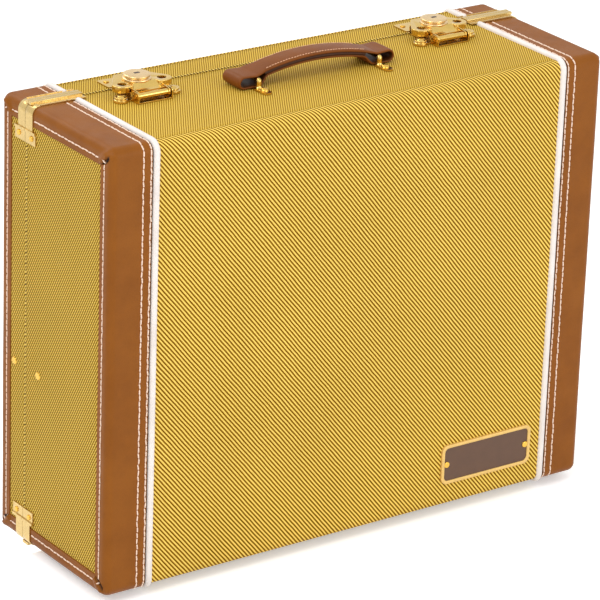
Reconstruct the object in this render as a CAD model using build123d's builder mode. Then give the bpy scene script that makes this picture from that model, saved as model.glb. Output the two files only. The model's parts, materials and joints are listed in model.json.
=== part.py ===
"""A hard case for guitar pedals, standing on its hinge side: a deep front shell, a shallow hinged lid
behind it, tweed cloth, leather end caps, white piping and brass fittings.

Millimetres. X runs along the case, +Y to the back where the lid is, +Z up. The origin is on the
ground under the middle of the case.
"""

import os
from math import atan2, degrees, hypot

from build123d import *

os.makedirs("parts", exist_ok=True)

# ---------------------------------------------------------------- case
case_length = 514.0  # X, over the leather
case_depth = 175.4  # Y, over the leather, front to back
case_height = 406.0  # Z, over the leather
lid_depth = 40.8  # Y, the part of the depth that is lid
long_edge_radius = 9.0  # edges that run along X
end_edge_radius = 7.0  # edges round both end faces
seam_gap = 0.4  # between the shells when the lid is shut
wall = 6.0  # plywood, front shell and the sides of the lid
lid_panel = 5.0  # plywood, the lid's large panel
leather_thickness = 1.4
tweed_thickness = 0.8
leather_border = 17.0  # leather turned onto the end faces
lining_thickness = 1.5
rim_thickness = 4.0  # wooden tongue that the lid closes over
rim_seat = 14.0  # its depth inside the front shell
rim_reach = 8.0  # its reach into the lid
rim_clearance = 0.8
lining_clearance = 1.0  # lid lining to the tongue

# ---------------------------------------------------------------- feet and hinges
foot_height = 8.0
foot_radius = 9.0
foot_tread_radius = 7.0
foot_spigot_radius = 2.0
foot_inset_x = 67.0  # from the end of the case
foot_inset_front = 45.0  # from the front of the case
foot_inset_seam = 25.0  # from the seam
hinge_inset = 127.0  # from the end of the case to the middle of a hinge
hinge_length = 50.0
hinge_knuckles = 5
hinge_knuckle_radius = 2.4
hinge_knuckle_gap = 0.3
hinge_pin_radius = 1.2
hinge_pin_clearance = 0.06  # radial
hinge_pin_overhang = 1.2
hinge_leaf_thickness = 1.2
hinge_leaf_reach = 24.0  # from the seam
hinge_leaf_setback = 3.2  # from the seam, clear of the other leaf's knuckles
hinge_drop = 0.2  # the pin's axis below the seam guards
hinge_rivet_reach = 14.5  # from the seam
hinge_rivet_spacing = 17.0
hinge_rivets_per_leaf = 3

# ---------------------------------------------------------------- piping
piping_radius = 3.1
end_cap_width = 44.2  # leather from the end of the case to the piping's axis
piping_sink = 0.35  # its axis below the tweed
groove_clearance = 0.05
piping_stop = 0.5  # from the seam guards

# ---------------------------------------------------------------- seam guards
guard_length = 52.8  # from the end of the case to its inner end
guard_width = 11.4  # each half, from the seam
guard_thickness = 0.8
guard_ridge_width = 4.6
guard_ridge_height = 2.8
guard_ridge_stop = 2.0  # from the end face
guard_lip_width = 0.8
guard_lip_height = 1.5
guard_foot_width = 16.2
guard_foot_height = 10.8
guard_foot_thickness = 1.4
guard_step_height = 5.4  # from the leather border to the foot
guard_bar_height = 2.4
guard_bar_proud = 1.8
guard_screw_reach = 10.2  # from the seam
guard_screw_drop = 5.2  # below the top of the foot
guard_screw_length = 6.0

# ---------------------------------------------------------------- badge
badge_length = 103.4
badge_height = 38.2
badge_inset = 108.5  # from the end of the case to its middle
badge_rise = 42.6  # its middle above the bottom of the case
badge_corner_radius = 5.0
badge_border = 2.4
badge_frame_thickness = 2.2
badge_plate_thickness = 1.2
badge_rivet_spacing = 88.8

# ---------------------------------------------------------------- handle
bracket_spacing = 128.0
bar_radius = 1.7
bar_height = 8.0  # its axis above the tweed
post_spread = 15.8  # post to the middle of the case
post_foot_radius = 2.4
bracket_foot_length = 13.0  # beyond the post
bracket_foot_width = 8.4
bracket_foot_thickness = 1.6
bracket_rivet_spread = 24.6
loop_length = 24.0
loop_height = 12.0
loop_leather = 2.4
loop_width = 26.4
loop_rest = 0.4  # its underside above the tweed
strap_width = 22.0
strap_crown = 21.3  # top of the arch above the tweed
strap_hollow = 12.9  # underside of the arch above the tweed
strap_top_end = 12.0  # top of the strap where it meets the loop
strap_foot_end = 8.0  # underside of the strap there
core_width = 14.0
core_thickness = 1.2
core_length = 96.0
core_depth = 3.6  # below the strap's crown
core_clearance = 0.1

# ---------------------------------------------------------------- latches
latch_inset = 99.7  # from the end of the case to its middle
latch_reach = 46.2  # base, ahead of the seam
latch_half_width = 17.4
latch_back_gap = 1.3  # from the base to the seam
latch_plate = 1.0
latch_wall = 1.2
latch_wall_height = 9.2
latch_wall_length = 12.0
ear_x = 26.3
ear_reach = 32.4  # ahead of the seam
ear_radius = 6.3
ear_thickness = 2.0
roller_reach = 41.7  # ahead of the seam
roller_height = 5.6
roller_radius = 2.6
roller_end_gap = 0.3
roller_pin_radius = 1.5
pivot_clearance = 0.08
lug_x = 20.0  # rivets seen through the holes in the lever
lug_reach = 24.0  # ahead of the seam
lug_radius = 5.5
lever_top = 12.0
lever_plate = 1.4
lever_lobe_radius = 8.5
lever_hole_radius = 4.0
lever_notch_half_width = 12.5
lever_notch_reach = 27.1  # ahead of the seam
lever_notch_fillet = 2.5
lever_tail_half_width = 13.7
lever_tail_overhang = 0.7  # past the seam
lever_skirt = 1.2
lever_skirt_height = 3.8
lever_arm_x = 14.9
lever_arm_thickness = 1.2
lever_arm_radius = 3.4
lever_cheek_gap = 1.4  # from the curved front sheet to the roller's surface
knob_reach = 15.7  # ahead of the seam
knob_radius = 11.8
knob_height = 4.8
knob_gap = 0.3
knob_rim_fillet = 1.2
knob_stem_radius = 6.0
knob_tab_length = 6.0
knob_tab_width = 4.0
knob_tab_thickness = 1.5
key_slot_length = 4.6
key_slot_width = 1.8
key_slot_depth = 1.6
claw_reach = 4.9  # its pin, ahead of the seam
claw_drop = 2.3  # its pin below the lever's plate
claw_pin_radius = 1.1
claw_barrel_radius = 1.9
claw_half_width = 9.0
claw_thickness = 1.2
claw_overhang = 5.9  # past the seam
claw_nose_drop = 0.7
strike_half_width = 16.6
strike_setback = 1.5  # past the seam
strike_length = 20.6
strike_hook_setback = 2.9  # past the seam
strike_hook_half_width = 12.0
strike_hook_height = 6.4
strike_plate = 1.0
strike_rivet_x = 10.9
strike_rivet_setback = 15.1  # past the seam
strike_corner_radius = 2.5

# ---------------------------------------------------------------- lid stays
stay_pivot_height = 166.0  # body pivot above the bottom of the case
stay_body_reach = 22.0  # from the seam
stay_lid_reach = 17.0
stay_pin_radius = 2.0
stay_bar_width = 12.0
stay_bar_thickness = 2.0
stay_bar_gap = 1.0  # between the two bars
stay_wall_gap = 0.8  # between the outer bar and the tongue
stay_collar_radius = 4.0
stay_play = 0.3  # between bars and collars or heads
elbow_pin_radius = 2.4
elbow_clearance = 0.8
stay_head_height = 1.2
stay_head_radius = 3.6

# ---------------------------------------------------------------- fasteners
rivet_shank_radius = 1.5
rivet_head_radius = 3.0
rivet_head_height = 1.5
small_head_radius = 2.6
small_head_height = 1.1
shank_depth = 5.0  # into the wood, from the tweed
shank_clearance = 0.05

# ---------------------------------------------------------------- places that follow
tweed_step = leather_thickness - tweed_thickness  # tweed below the leather surface
bottom = foot_height - tweed_step  # Z of the leather's underside
top = bottom + case_height
middle = bottom + case_height / 2
tweed_top = top - tweed_step
tweed_bottom = bottom + tweed_step
half_length = case_length / 2
half_depth = case_depth / 2
tweed_end = half_length - tweed_step
seam = half_depth - lid_depth
skin_to_cavity = leather_thickness + wall
cavity_x = half_length - skin_to_cavity
cavity_low = bottom + skin_to_cavity
cavity_high = top - skin_to_cavity
cavity_front = -half_depth + skin_to_cavity
cavity_back = half_depth - leather_thickness - lid_panel
hinge_z = bottom - guard_ridge_height - hinge_drop
hinge_x = half_length - hinge_inset
hinge_centres = (-hinge_x, hinge_x)
piping_x = half_length - end_cap_width
guard_start_x = half_length - guard_length
badge_x = half_length - badge_inset
latch_x = half_length - latch_inset
latch_centres = {"left": -latch_x, "right": latch_x}
latch_front = seam - latch_reach
ear_y = seam - ear_reach
roller_y = seam - roller_reach
lug_y = seam - lug_reach
lever_notch_y = seam - lever_notch_reach
lever_tail_y = seam + lever_tail_overhang
knob_y = seam - knob_reach
claw_y = seam - claw_reach
claw_nose_y = seam + claw_overhang
strike_front = seam + strike_setback
strike_back = strike_front + strike_length
strike_hook_y = seam + strike_hook_setback
strike_rivet_y = seam + strike_rivet_setback
foot_x = half_length - foot_inset_x
foot_front_y = -half_depth + foot_inset_front
foot_back_y = seam - foot_inset_seam

seam_plane = Plane(origin=(0, seam, middle), x_dir=(1, 0, 0), z_dir=(0, 1, 0))
body_edge = seam_plane.offset(-seam_gap / 2)
lid_edge = seam_plane.offset(seam_gap / 2)
mid_height = Plane.XY.offset(middle)


def save(part, name):
    """Label a finished piece and write it under its name."""
    part.label = name
    export_step(part, f"parts/{name}.step")


def plane_at(x, y, z, normal):
    """A working plane at a point, facing along the normal, with its X along the case or up an end."""
    across = (0, 1, 0) if abs(normal[0]) > 0.5 else (1, 0, 0)
    return Plane(origin=(x, y, z), x_dir=across, z_dir=normal)


# ---------------------------------------------------------------- shared shapes
def case_block(inset):
    """The whole shut case as one rounded block, with its surface `inset` inside the leather's."""
    with BuildPart() as block:
        with BuildSketch(plane_at(inset - half_length, 0, middle, (1, 0, 0))) as section:
            Rectangle(case_depth - 2 * inset, case_height - 2 * inset)
            fillet(section.vertices(), long_edge_radius - inset)
        extrude(amount=case_length - 2 * inset)
        fillet(block.faces().filter_by(Axis.X).edges(), end_edge_radius - inset)
    return block.part


def piping_ring(radius, side, front, start):
    """Round piping in a U from the seam's underside, along the `front` face, to the seam's top."""
    depth = tweed_step + piping_sink
    face = front * (half_depth - depth)
    with BuildPart() as ring:
        with BuildLine(plane_at(side * piping_x, 0, 0, (1, 0, 0))) as path:
            FilletPolyline(
                (start, bottom + depth),
                (face, bottom + depth),
                (face, top - depth),
                (start, top - depth),
                radius=long_edge_radius - depth,
            )
        with BuildSketch(Plane(origin=path.line @ 0, z_dir=path.line % 0)):
            Circle(radius)
        sweep()
    return ring.part


def fasteners(planes, head_radius, head_height, shank_radius, shank_length):
    """A domed rivet or screw on each plane: the head outside it and the shank inside."""
    with BuildPart() as group:
        with BuildSketch(*planes):
            Circle(shank_radius)
        extrude(amount=-shank_length)
        with BuildSketch(*planes):
            Circle(head_radius)
        extrude(amount=head_height)
        for plane in planes:
            crowns = group.faces().sort_by_distance(plane.offset(head_height).origin)[0]
            fillet(crowns.edges(), head_height * 0.8)
    return group.part


def drill(planes, radius, depth):
    """Holes for shanks, cut into the part that is being built."""
    with BuildSketch(*planes) as holes:
        Circle(radius + shank_clearance)
    extrude(holes.sketch, amount=-depth, mode=Mode.SUBTRACT)


# ---------------------------------------------------------------- fastener places
ear_planes = [
    plane_at(x + side * ear_x, ear_y, tweed_top + ear_thickness, (0, 0, 1))
    for x in latch_centres.values()
    for side in (-1, 1)
]
lug_planes = [
    plane_at(x + side * lug_x, lug_y, tweed_top + latch_plate, (0, 0, 1))
    for x in latch_centres.values()
    for side in (-1, 1)
]
bracket_planes = [
    plane_at(
        x * bracket_spacing / 2,
        y * bracket_rivet_spread,
        tweed_top + bracket_foot_thickness,
        (0, 0, 1),
    )
    for x in (-1, 1)
    for y in (-1, 1)
]
strike_planes = [
    plane_at(x + side * strike_rivet_x, strike_rivet_y, tweed_top + strike_plate, (0, 0, 1))
    for x in latch_centres.values()
    for side in (-1, 1)
]
badge_planes = [
    plane_at(
        badge_x + side * badge_rivet_spacing / 2,
        -half_depth + tweed_step - badge_plate_thickness,
        bottom + badge_rise,
        (0, -1, 0),
    )
    for side in (-1, 1)
]
guard_screw_z = top - leather_border - guard_step_height - guard_screw_drop


def guard_screw_planes(way):
    """Screw places on all four guard feet, in front of the seam (way -1) or behind it (way 1)."""
    return [
        plane_at(
            side * (tweed_end + guard_foot_thickness),
            seam + way * guard_screw_reach,
            middle + up * (guard_screw_z - middle),
            (side, 0, 0),
        )
        for side in (-1, 1)
        for up in (-1, 1)
    ]


def hinge_rivet_planes(way):
    """Rivet places on the hinge leaves, in front of the seam (way -1) or behind it (way 1)."""
    return [
        plane_at(
            x + (n - (hinge_rivets_per_leaf - 1) / 2) * hinge_rivet_spacing,
            seam + way * hinge_rivet_reach,
            tweed_bottom - hinge_leaf_thickness,
            (0, 0, -1),
        )
        for x in hinge_centres
        for n in range(hinge_rivets_per_leaf)
    ]


foot_planes = [
    plane_at(side * foot_x, y, tweed_bottom, (0, 0, -1))
    for side in (-1, 1)
    for y in (foot_front_y, foot_back_y)
]

# The lid stays are a rhombus: both bars are as long as the two pivots are from the hinge's axis.
stay_body_y = seam - stay_body_reach
stay_body_z = bottom + stay_pivot_height
stay_length = hypot(stay_body_reach, stay_body_z - hinge_z)
stay_lid_y = seam + stay_lid_reach
stay_lid_z = hinge_z + (stay_length**2 - stay_lid_reach**2) ** 0.5
elbow_y = stay_body_y + stay_lid_y - seam
elbow_z = stay_body_z + stay_lid_z - hinge_z
outer_bar_x = cavity_x - rim_clearance - rim_thickness - stay_wall_gap  # outer face of the outer bar
inner_bar_x = outer_bar_x - stay_bar_thickness - stay_bar_gap


def stay_planes(y, z):
    """The stay pivots on both end faces."""
    return [plane_at(side * tweed_end, y, z, (side, 0, 0)) for side in (-1, 1)]


# ---------------------------------------------------------------- front shell
def drill_body():
    """Holes for what is fastened to the front shell, cut into the part that is being built."""
    drill(ear_planes, rivet_shank_radius, ear_thickness + shank_depth)
    drill(lug_planes, rivet_shank_radius, latch_plate + shank_depth)
    drill(bracket_planes, rivet_shank_radius, bracket_foot_thickness + shank_depth)
    drill(badge_planes, rivet_shank_radius, badge_plate_thickness + shank_depth)
    drill(guard_screw_planes(-1), rivet_shank_radius, guard_screw_length)
    drill(hinge_rivet_planes(-1), rivet_shank_radius, hinge_leaf_thickness + shank_depth)
    drill(foot_planes, foot_spigot_radius, shank_depth)
    drill(stay_planes(stay_body_y, stay_body_z), stay_pin_radius, skin_to_cavity + lining_thickness)


def drill_lid():
    """Holes for what is fastened to the lid, cut into the part that is being built."""
    drill(strike_planes, rivet_shank_radius, strike_plate + shank_depth)
    drill(guard_screw_planes(1), rivet_shank_radius, guard_screw_length)
    drill(hinge_rivet_planes(1), rivet_shank_radius, hinge_leaf_thickness + shank_depth)
    drill(stay_planes(stay_lid_y, stay_lid_z), stay_pin_radius, skin_to_cavity + lining_thickness)


def drill_shell(way):
    """The same holes for the front shell (way -1) or the lid (way 1)."""
    if way < 0:
        drill_body()
    else:
        drill_lid()


piping_start = {-1: seam - guard_width - piping_stop, 1: seam + guard_width + piping_stop}


def cut_grooves(way):
    """The piping's grooves, cut into the part that is being built."""
    for side in (-1, 1):
        add(piping_ring(piping_radius + groove_clearance, side, way, piping_start[way]), mode=Mode.SUBTRACT)


def box_between(low, high, mode=Mode.ADD):
    """A box from its lowest corner to its highest."""
    size = [b - a for a, b in zip(low, high)]
    with Locations(tuple((a + b) / 2 for a, b in zip(low, high))):
        Box(*size, mode=mode)


def make_body_shell():
    with BuildPart() as shell:
        add(case_block(leather_thickness))
        box_between(
            (-cavity_x, cavity_front, cavity_low),
            (cavity_x, half_depth, cavity_high),
            Mode.SUBTRACT,
        )
        split(bisect_by=body_edge, keep=Keep.BOTTOM)
        cut_grooves(-1)
        drill_body()
    save(shell.part, "body_shell")


def make_lid_shell():
    with BuildPart() as shell:
        add(case_block(leather_thickness))
        box_between(
            (-cavity_x, -half_depth, cavity_low),
            (cavity_x, cavity_back, cavity_high),
            Mode.SUBTRACT,
        )
        split(bisect_by=lid_edge, keep=Keep.TOP)
        cut_grooves(1)
        drill_lid()
    save(shell.part, "lid_shell")


def make_rim():
    """The wooden tongue round the mouth of the front shell, which stands into the lid."""
    with BuildPart() as rim:
        with BuildSketch(seam_plane.offset(-rim_seat)):
            Rectangle(2 * cavity_x, cavity_high - cavity_low)
        extrude(amount=rim_seat - seam_gap / 2)
        with BuildSketch(body_edge):
            Rectangle(2 * (cavity_x - rim_clearance), cavity_high - cavity_low - 2 * rim_clearance)
        extrude(amount=rim_reach + seam_gap / 2)
        inset = rim_clearance + rim_thickness
        with BuildSketch(seam_plane.offset(-rim_seat)):
            Rectangle(2 * (cavity_x - inset), cavity_high - cavity_low - 2 * inset)
        extrude(amount=rim_seat + rim_reach, mode=Mode.SUBTRACT)
    save(rim.part, "body_rim")


def lining_tray(front, back, way):
    """A cloth tray that lines the walls and the large panel of the front shell (way -1) or the lid."""
    inner_front = front if way > 0 else front + lining_thickness
    inner_back = back - lining_thickness if way > 0 else back
    inner_x = cavity_x - lining_thickness
    with BuildPart() as tray:
        box_between((-cavity_x, front, cavity_low), (cavity_x, back, cavity_high))
        box_between(
            (-inner_x, inner_front, cavity_low + lining_thickness),
            (inner_x, inner_back, cavity_high - lining_thickness),
            Mode.SUBTRACT,
        )
        drill_shell(way)
    return tray.part


def make_linings():
    save(lining_tray(cavity_front, seam - rim_seat, -1), "body_lining")
    lid_front = seam + rim_reach + lining_clearance
    save(lining_tray(lid_front, cavity_back, 1), "lid_lining")


def tweed_wrap(way, edge, keep):
    """The cloth round the middle of one shell, between the two pipings."""
    with BuildPart() as cloth:
        add(case_block(tweed_step))
        add(case_block(leather_thickness), mode=Mode.SUBTRACT)
        box_between((-piping_x, -half_depth, bottom), (piping_x, half_depth, top), Mode.INTERSECT)
        split(bisect_by=edge, keep=keep)
        cut_grooves(way)
        drill_shell(way)
    return cloth.part


def tweed_ends(way):
    """The cloth panels let into both end faces of one shell."""
    low, high = (-half_depth + leather_border, seam - seam_gap / 2)
    if way > 0:
        low, high = (seam + seam_gap / 2, half_depth - leather_border)
    with BuildPart() as cloth:
        for side in (-1, 1):
            near, far = sorted((side * (half_length - leather_thickness), side * tweed_end))
            box_between((near, low, bottom + leather_border), (far, high, top - leather_border))
        drill_shell(way)
    return cloth.part


def leather_cap(side, way, edge, keep):
    """The leather over one end of one shell: a band round it, turned onto the end face."""
    near, far = sorted((side * piping_x, side * half_length))
    window_near, window_far = sorted((side * cavity_x, side * (half_length + leather_thickness)))
    rim = half_depth - leather_border
    with BuildPart() as cap:
        add(case_block(0))
        add(case_block(leather_thickness), mode=Mode.SUBTRACT)
        box_between((near, -half_depth, bottom), (far, half_depth, top), Mode.INTERSECT)
        box_between(
            (window_near, -rim, bottom + leather_border),
            (window_far, rim, top - leather_border),
            Mode.SUBTRACT,
        )
        split(bisect_by=edge, keep=keep)
        cut_grooves(way)
    return cap.part


def make_covers():
    save(tweed_wrap(-1, body_edge, Keep.BOTTOM), "body_tweed_cover")
    save(tweed_wrap(1, lid_edge, Keep.TOP), "lid_tweed_cover")
    save(tweed_ends(-1), "body_tweed_ends")
    save(tweed_ends(1), "lid_tweed_ends")
    for side, word in ((-1, "left"), (1, "right")):
        save(leather_cap(side, -1, body_edge, Keep.BOTTOM), f"body_leather_{word}")
        save(leather_cap(side, 1, lid_edge, Keep.TOP), f"lid_leather_{word}")


def make_piping():
    for way, name in ((-1, "body_piping"), (1, "lid_piping")):
        with BuildPart() as piping:
            for side in (-1, 1):
                add(piping_ring(piping_radius, side, way, piping_start[way]))
        save(piping.part, name)


# ---------------------------------------------------------------- feet
def make_feet():
    """Four turned feet that keep the hinges off the ground."""
    with BuildPart() as feet:
        with BuildSketch(*foot_planes):
            Circle(foot_radius)
        extrude(amount=foot_height)
        treads = feet.faces().sort_by(Axis.Z)[: len(foot_planes)]
        chamfer([e for f in treads for e in f.edges()], foot_height * 0.6, foot_radius - foot_tread_radius)
        with BuildSketch(*foot_planes):
            Circle(foot_spigot_radius)
        extrude(amount=-shank_depth)
    save(feet.part, "case_feet")


# ---------------------------------------------------------------- hinges
def hinge_leaf(x, way):
    """One leaf with its knuckles: every second one, from the end for the body (way -1)."""
    pitch = (hinge_length + hinge_knuckle_gap) / hinge_knuckles
    first = 0 if way < 0 else 1
    plate_low = tweed_bottom - hinge_leaf_thickness
    y_near, y_far = sorted((seam + way * hinge_leaf_setback, seam + way * hinge_leaf_reach))
    web_near, web_far = sorted((seam, seam + way * (hinge_leaf_setback + hinge_leaf_thickness)))
    with BuildPart() as leaf:
        box_between((x - hinge_length / 2, y_near, plate_low), (x + hinge_length / 2, y_far, tweed_bottom))
        fillet(leaf.edges().filter_by(Axis.Z).group_by(Axis.Y)[0 if way < 0 else -1], leather_thickness * 2)
        for n in range(first, hinge_knuckles, 2):
            start = x - hinge_length / 2 + n * pitch
            stop = start + pitch - hinge_knuckle_gap
            box_between((start, web_near, hinge_z + hinge_pin_radius * 1.5), (stop, web_far, tweed_bottom))
            with BuildSketch(plane_at(start, seam, hinge_z, (1, 0, 0))):
                Circle(hinge_knuckle_radius)
            extrude(amount=stop - start)
        with BuildSketch(plane_at(x - hinge_length / 2, seam, hinge_z, (1, 0, 0))):
            Circle(hinge_pin_radius + hinge_pin_clearance)
        extrude(amount=hinge_length, mode=Mode.SUBTRACT)
        drill(hinge_rivet_planes(way), rivet_shank_radius, hinge_leaf_thickness)
    return leaf.part


def make_hinges():
    for x, word in zip(hinge_centres, ("left", "right")):
        save(hinge_leaf(x, -1), f"hinge_leaf_body_{word}")
        save(hinge_leaf(x, 1), f"hinge_leaf_lid_{word}")
    with BuildPart() as pins:
        for x in hinge_centres:
            reach = hinge_length / 2 + hinge_pin_overhang
            with BuildSketch(plane_at(x - reach, seam, hinge_z, (1, 0, 0))):
                Circle(hinge_pin_radius)
            extrude(amount=2 * reach)
    save(pins.part, "hinge_pins")
    for way, name in ((-1, "hinge_rivets_body"), (1, "hinge_rivets_lid")):
        length = hinge_leaf_thickness + shank_depth
        rivets = fasteners(
            hinge_rivet_planes(way), small_head_radius, small_head_height, rivet_shank_radius, length
        )
        save(rivets, name)


# ---------------------------------------------------------------- seam guards
def guard_half():
    """The guard at the top right, in front of the seam: a strip over the edge, with its ridge and foot."""
    near = seam - seam_gap / 2
    strip_end = top - leather_border - guard_step_height
    foot_face = tweed_end + guard_foot_thickness
    with BuildPart() as guard:
        add(case_block(-guard_thickness))
        add(case_block(0), mode=Mode.SUBTRACT)
        box_between(
            (guard_start_x, seam - guard_width, strip_end),
            (half_length + guard_thickness, near, top + guard_thickness),
            Mode.INTERSECT,
        )
        ridge_end = half_length - guard_ridge_stop
        box_between(
            (guard_start_x, seam - guard_ridge_width, top),
            (ridge_end, near, top + guard_ridge_height),
        )
        fillet(guard.edges().filter_by(Axis.X).group_by(Axis.Z)[-1], guard_thickness)
        box_between(
            (guard_start_x, seam - guard_width, top),
            (half_length - end_edge_radius, seam - guard_width + guard_lip_width, top + guard_lip_height),
        )
        box_between(
            (tweed_end, seam - guard_foot_width, strip_end - guard_foot_height),
            (foot_face, near, strip_end),
        )
        box_between(
            (tweed_end, seam - guard_width, strip_end),
            (half_length + guard_thickness, near, top - leather_border),
        )
        box_between(
            (tweed_end, seam - guard_foot_width, strip_end - guard_bar_height / 2),
            (foot_face + guard_bar_proud - guard_thickness, near, strip_end + guard_bar_height / 2),
        )
        screw_plane = plane_at(foot_face, seam - guard_screw_reach, guard_screw_z, (1, 0, 0))
        drill([screw_plane], rivet_shank_radius, guard_screw_length)
    return guard.part


def make_guards():
    half = guard_half()
    lower = mirror(half, about=mid_height)
    for name, piece in (("top", half), ("bottom", lower)):
        with BuildPart() as body_pair:
            add(piece)
            mirror(about=Plane.YZ)
        save(body_pair.part, f"seam_guards_body_{name}")
        lid_pair = mirror(body_pair.part, about=seam_plane)
        save(lid_pair, f"seam_guards_lid_{name}")
    for way, name in ((-1, "guard_screws_body"), (1, "guard_screws_lid")):
        screws = fasteners(
            guard_screw_planes(way),
            small_head_radius,
            small_head_height,
            rivet_shank_radius,
            guard_screw_length,
        )
        save(screws, name)


# ---------------------------------------------------------------- badge
def make_badge():
    """A plain oblong plate in a raised border, held by two rivets."""
    face = plane_at(badge_x, -half_depth + tweed_step, bottom + badge_rise, (0, -1, 0))
    inner_length = badge_length - 2 * badge_border
    inner_height = badge_height - 2 * badge_border
    inner_radius = badge_corner_radius - badge_border
    with BuildPart() as frame:
        with BuildSketch(face):
            RectangleRounded(badge_length, badge_height, badge_corner_radius)
            RectangleRounded(inner_length, inner_height, inner_radius, mode=Mode.SUBTRACT)
        extrude(amount=badge_frame_thickness)
        fillet(frame.faces().sort_by(Axis.Y)[0].edges(), badge_border * 0.3)
    save(frame.part, "badge_frame")
    with BuildPart() as plate:
        with BuildSketch(face):
            RectangleRounded(inner_length, inner_height, inner_radius)
        extrude(amount=badge_plate_thickness)
        drill(badge_planes, rivet_shank_radius, badge_plate_thickness)
    save(plate.part, "badge_plate")
    rivets = fasteners(
        badge_planes,
        rivet_head_radius,
        small_head_height,
        rivet_shank_radius,
        badge_plate_thickness + shank_depth,
    )
    save(rivets, "badge_rivets")


# ---------------------------------------------------------------- handle
loop_centre = bracket_spacing / 2 - loop_height / 2 + loop_length / 2


def bracket(x):
    """A bent rod over the handle's loop, with a flat foot at each end."""
    with BuildPart() as staple:
        with BuildSketch(plane_at(x, post_spread, tweed_top + bar_height, (0, 1, 0))):
            Circle(bar_radius)
        extrude(amount=-2 * post_spread)
        for y in (-1, 1):
            with Locations((x, y * post_spread, tweed_top + bar_height)):
                Sphere(bar_radius)
            with BuildSketch(plane_at(x, y * post_spread, tweed_top, (0, 0, 1))):
                Circle(post_foot_radius)
            with BuildSketch(plane_at(x, y * post_spread, tweed_top + bar_height, (0, 0, 1))):
                Circle(bar_radius)
            loft()
            reach = y * (post_spread + bracket_foot_length / 2)
            with BuildSketch(plane_at(x, reach, tweed_top, (0, 0, 1))):
                SlotOverall(bracket_foot_length + bracket_foot_width, bracket_foot_width, rotation=90)
            extrude(amount=bracket_foot_thickness)
            trim_low = y * (post_spread - post_foot_radius)
            near, far = sorted((trim_low, trim_low - y * bracket_foot_width))
            box_between(
                (x - bracket_foot_width, near, tweed_top),
                (x + bracket_foot_width, far, tweed_top + bracket_foot_thickness),
                Mode.SUBTRACT,
            )
        drill(bracket_planes, rivet_shank_radius, bracket_foot_thickness)
    return staple.part


def arch_band(half_span, crown, end_height, thickness_mid, thickness_end, width):
    """A band that arches along X, as deep in Y as its width."""
    low_mid = crown - thickness_mid
    low_end = end_height - thickness_end
    with BuildPart() as band:
        with BuildSketch(plane_at(0, width / 2, tweed_top, (0, -1, 0))):
            with BuildLine():
                ThreePointArc((-half_span, end_height), (0, crown), (half_span, end_height))
                Line((half_span, end_height), (half_span, low_end))
                ThreePointArc((half_span, low_end), (0, low_mid), (-half_span, low_end))
                Line((-half_span, low_end), (-half_span, end_height))
            make_face()
        extrude(amount=width)
    return band.part


def core_band(grow):
    """The spring steel inside the strap, or its pocket when `grow` is its clearance."""
    half_span = core_length / 2 + grow
    strap_drop = strap_crown - strap_top_end
    sag = strap_drop * (half_span / (bracket_spacing / 2)) ** 2
    crown = strap_crown - core_depth + grow
    thickness = core_thickness + 2 * grow
    return arch_band(half_span, crown, crown - sag, thickness, thickness, core_width + 2 * grow)


def make_handle():
    with BuildPart() as brackets:
        for side in (-1, 1):
            add(bracket(side * bracket_spacing / 2))
    save(brackets.part, "handle_brackets")
    rivets = fasteners(
        bracket_planes,
        small_head_radius,
        rivet_head_height,
        rivet_shank_radius,
        bracket_foot_thickness + shank_depth,
    )
    save(rivets, "handle_rivets")

    end_x = loop_centre - loop_length / 2 + loop_leather
    with BuildPart() as grip:
        add(
            arch_band(
                end_x,
                strap_crown,
                strap_top_end,
                strap_crown - strap_hollow,
                strap_top_end - strap_foot_end,
                strap_width,
            )
        )
        fillet(grip.edges().filter_by(GeomType.CIRCLE).group_by(Axis.Z)[-1], loop_leather)
        for side in (-1, 1):
            middle_z = tweed_top + loop_rest + loop_height / 2
            with BuildSketch(plane_at(side * loop_centre, loop_width / 2, middle_z, (0, -1, 0))):
                SlotOverall(loop_length, loop_height)
            extrude(amount=loop_width)
            with BuildSketch(plane_at(side * loop_centre, loop_width / 2, middle_z, (0, -1, 0))):
                SlotOverall(loop_length - 2 * loop_leather, loop_height - 2 * loop_leather)
            extrude(amount=loop_width, mode=Mode.SUBTRACT)
        add(core_band(core_clearance), mode=Mode.SUBTRACT)
    save(grip.part, "handle_grip")
    save(core_band(0), "handle_core")


# ---------------------------------------------------------------- latches
roller_z = tweed_top + roller_height
lever_under = tweed_top + lever_top - lever_plate
claw_z = lever_under - claw_drop


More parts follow.
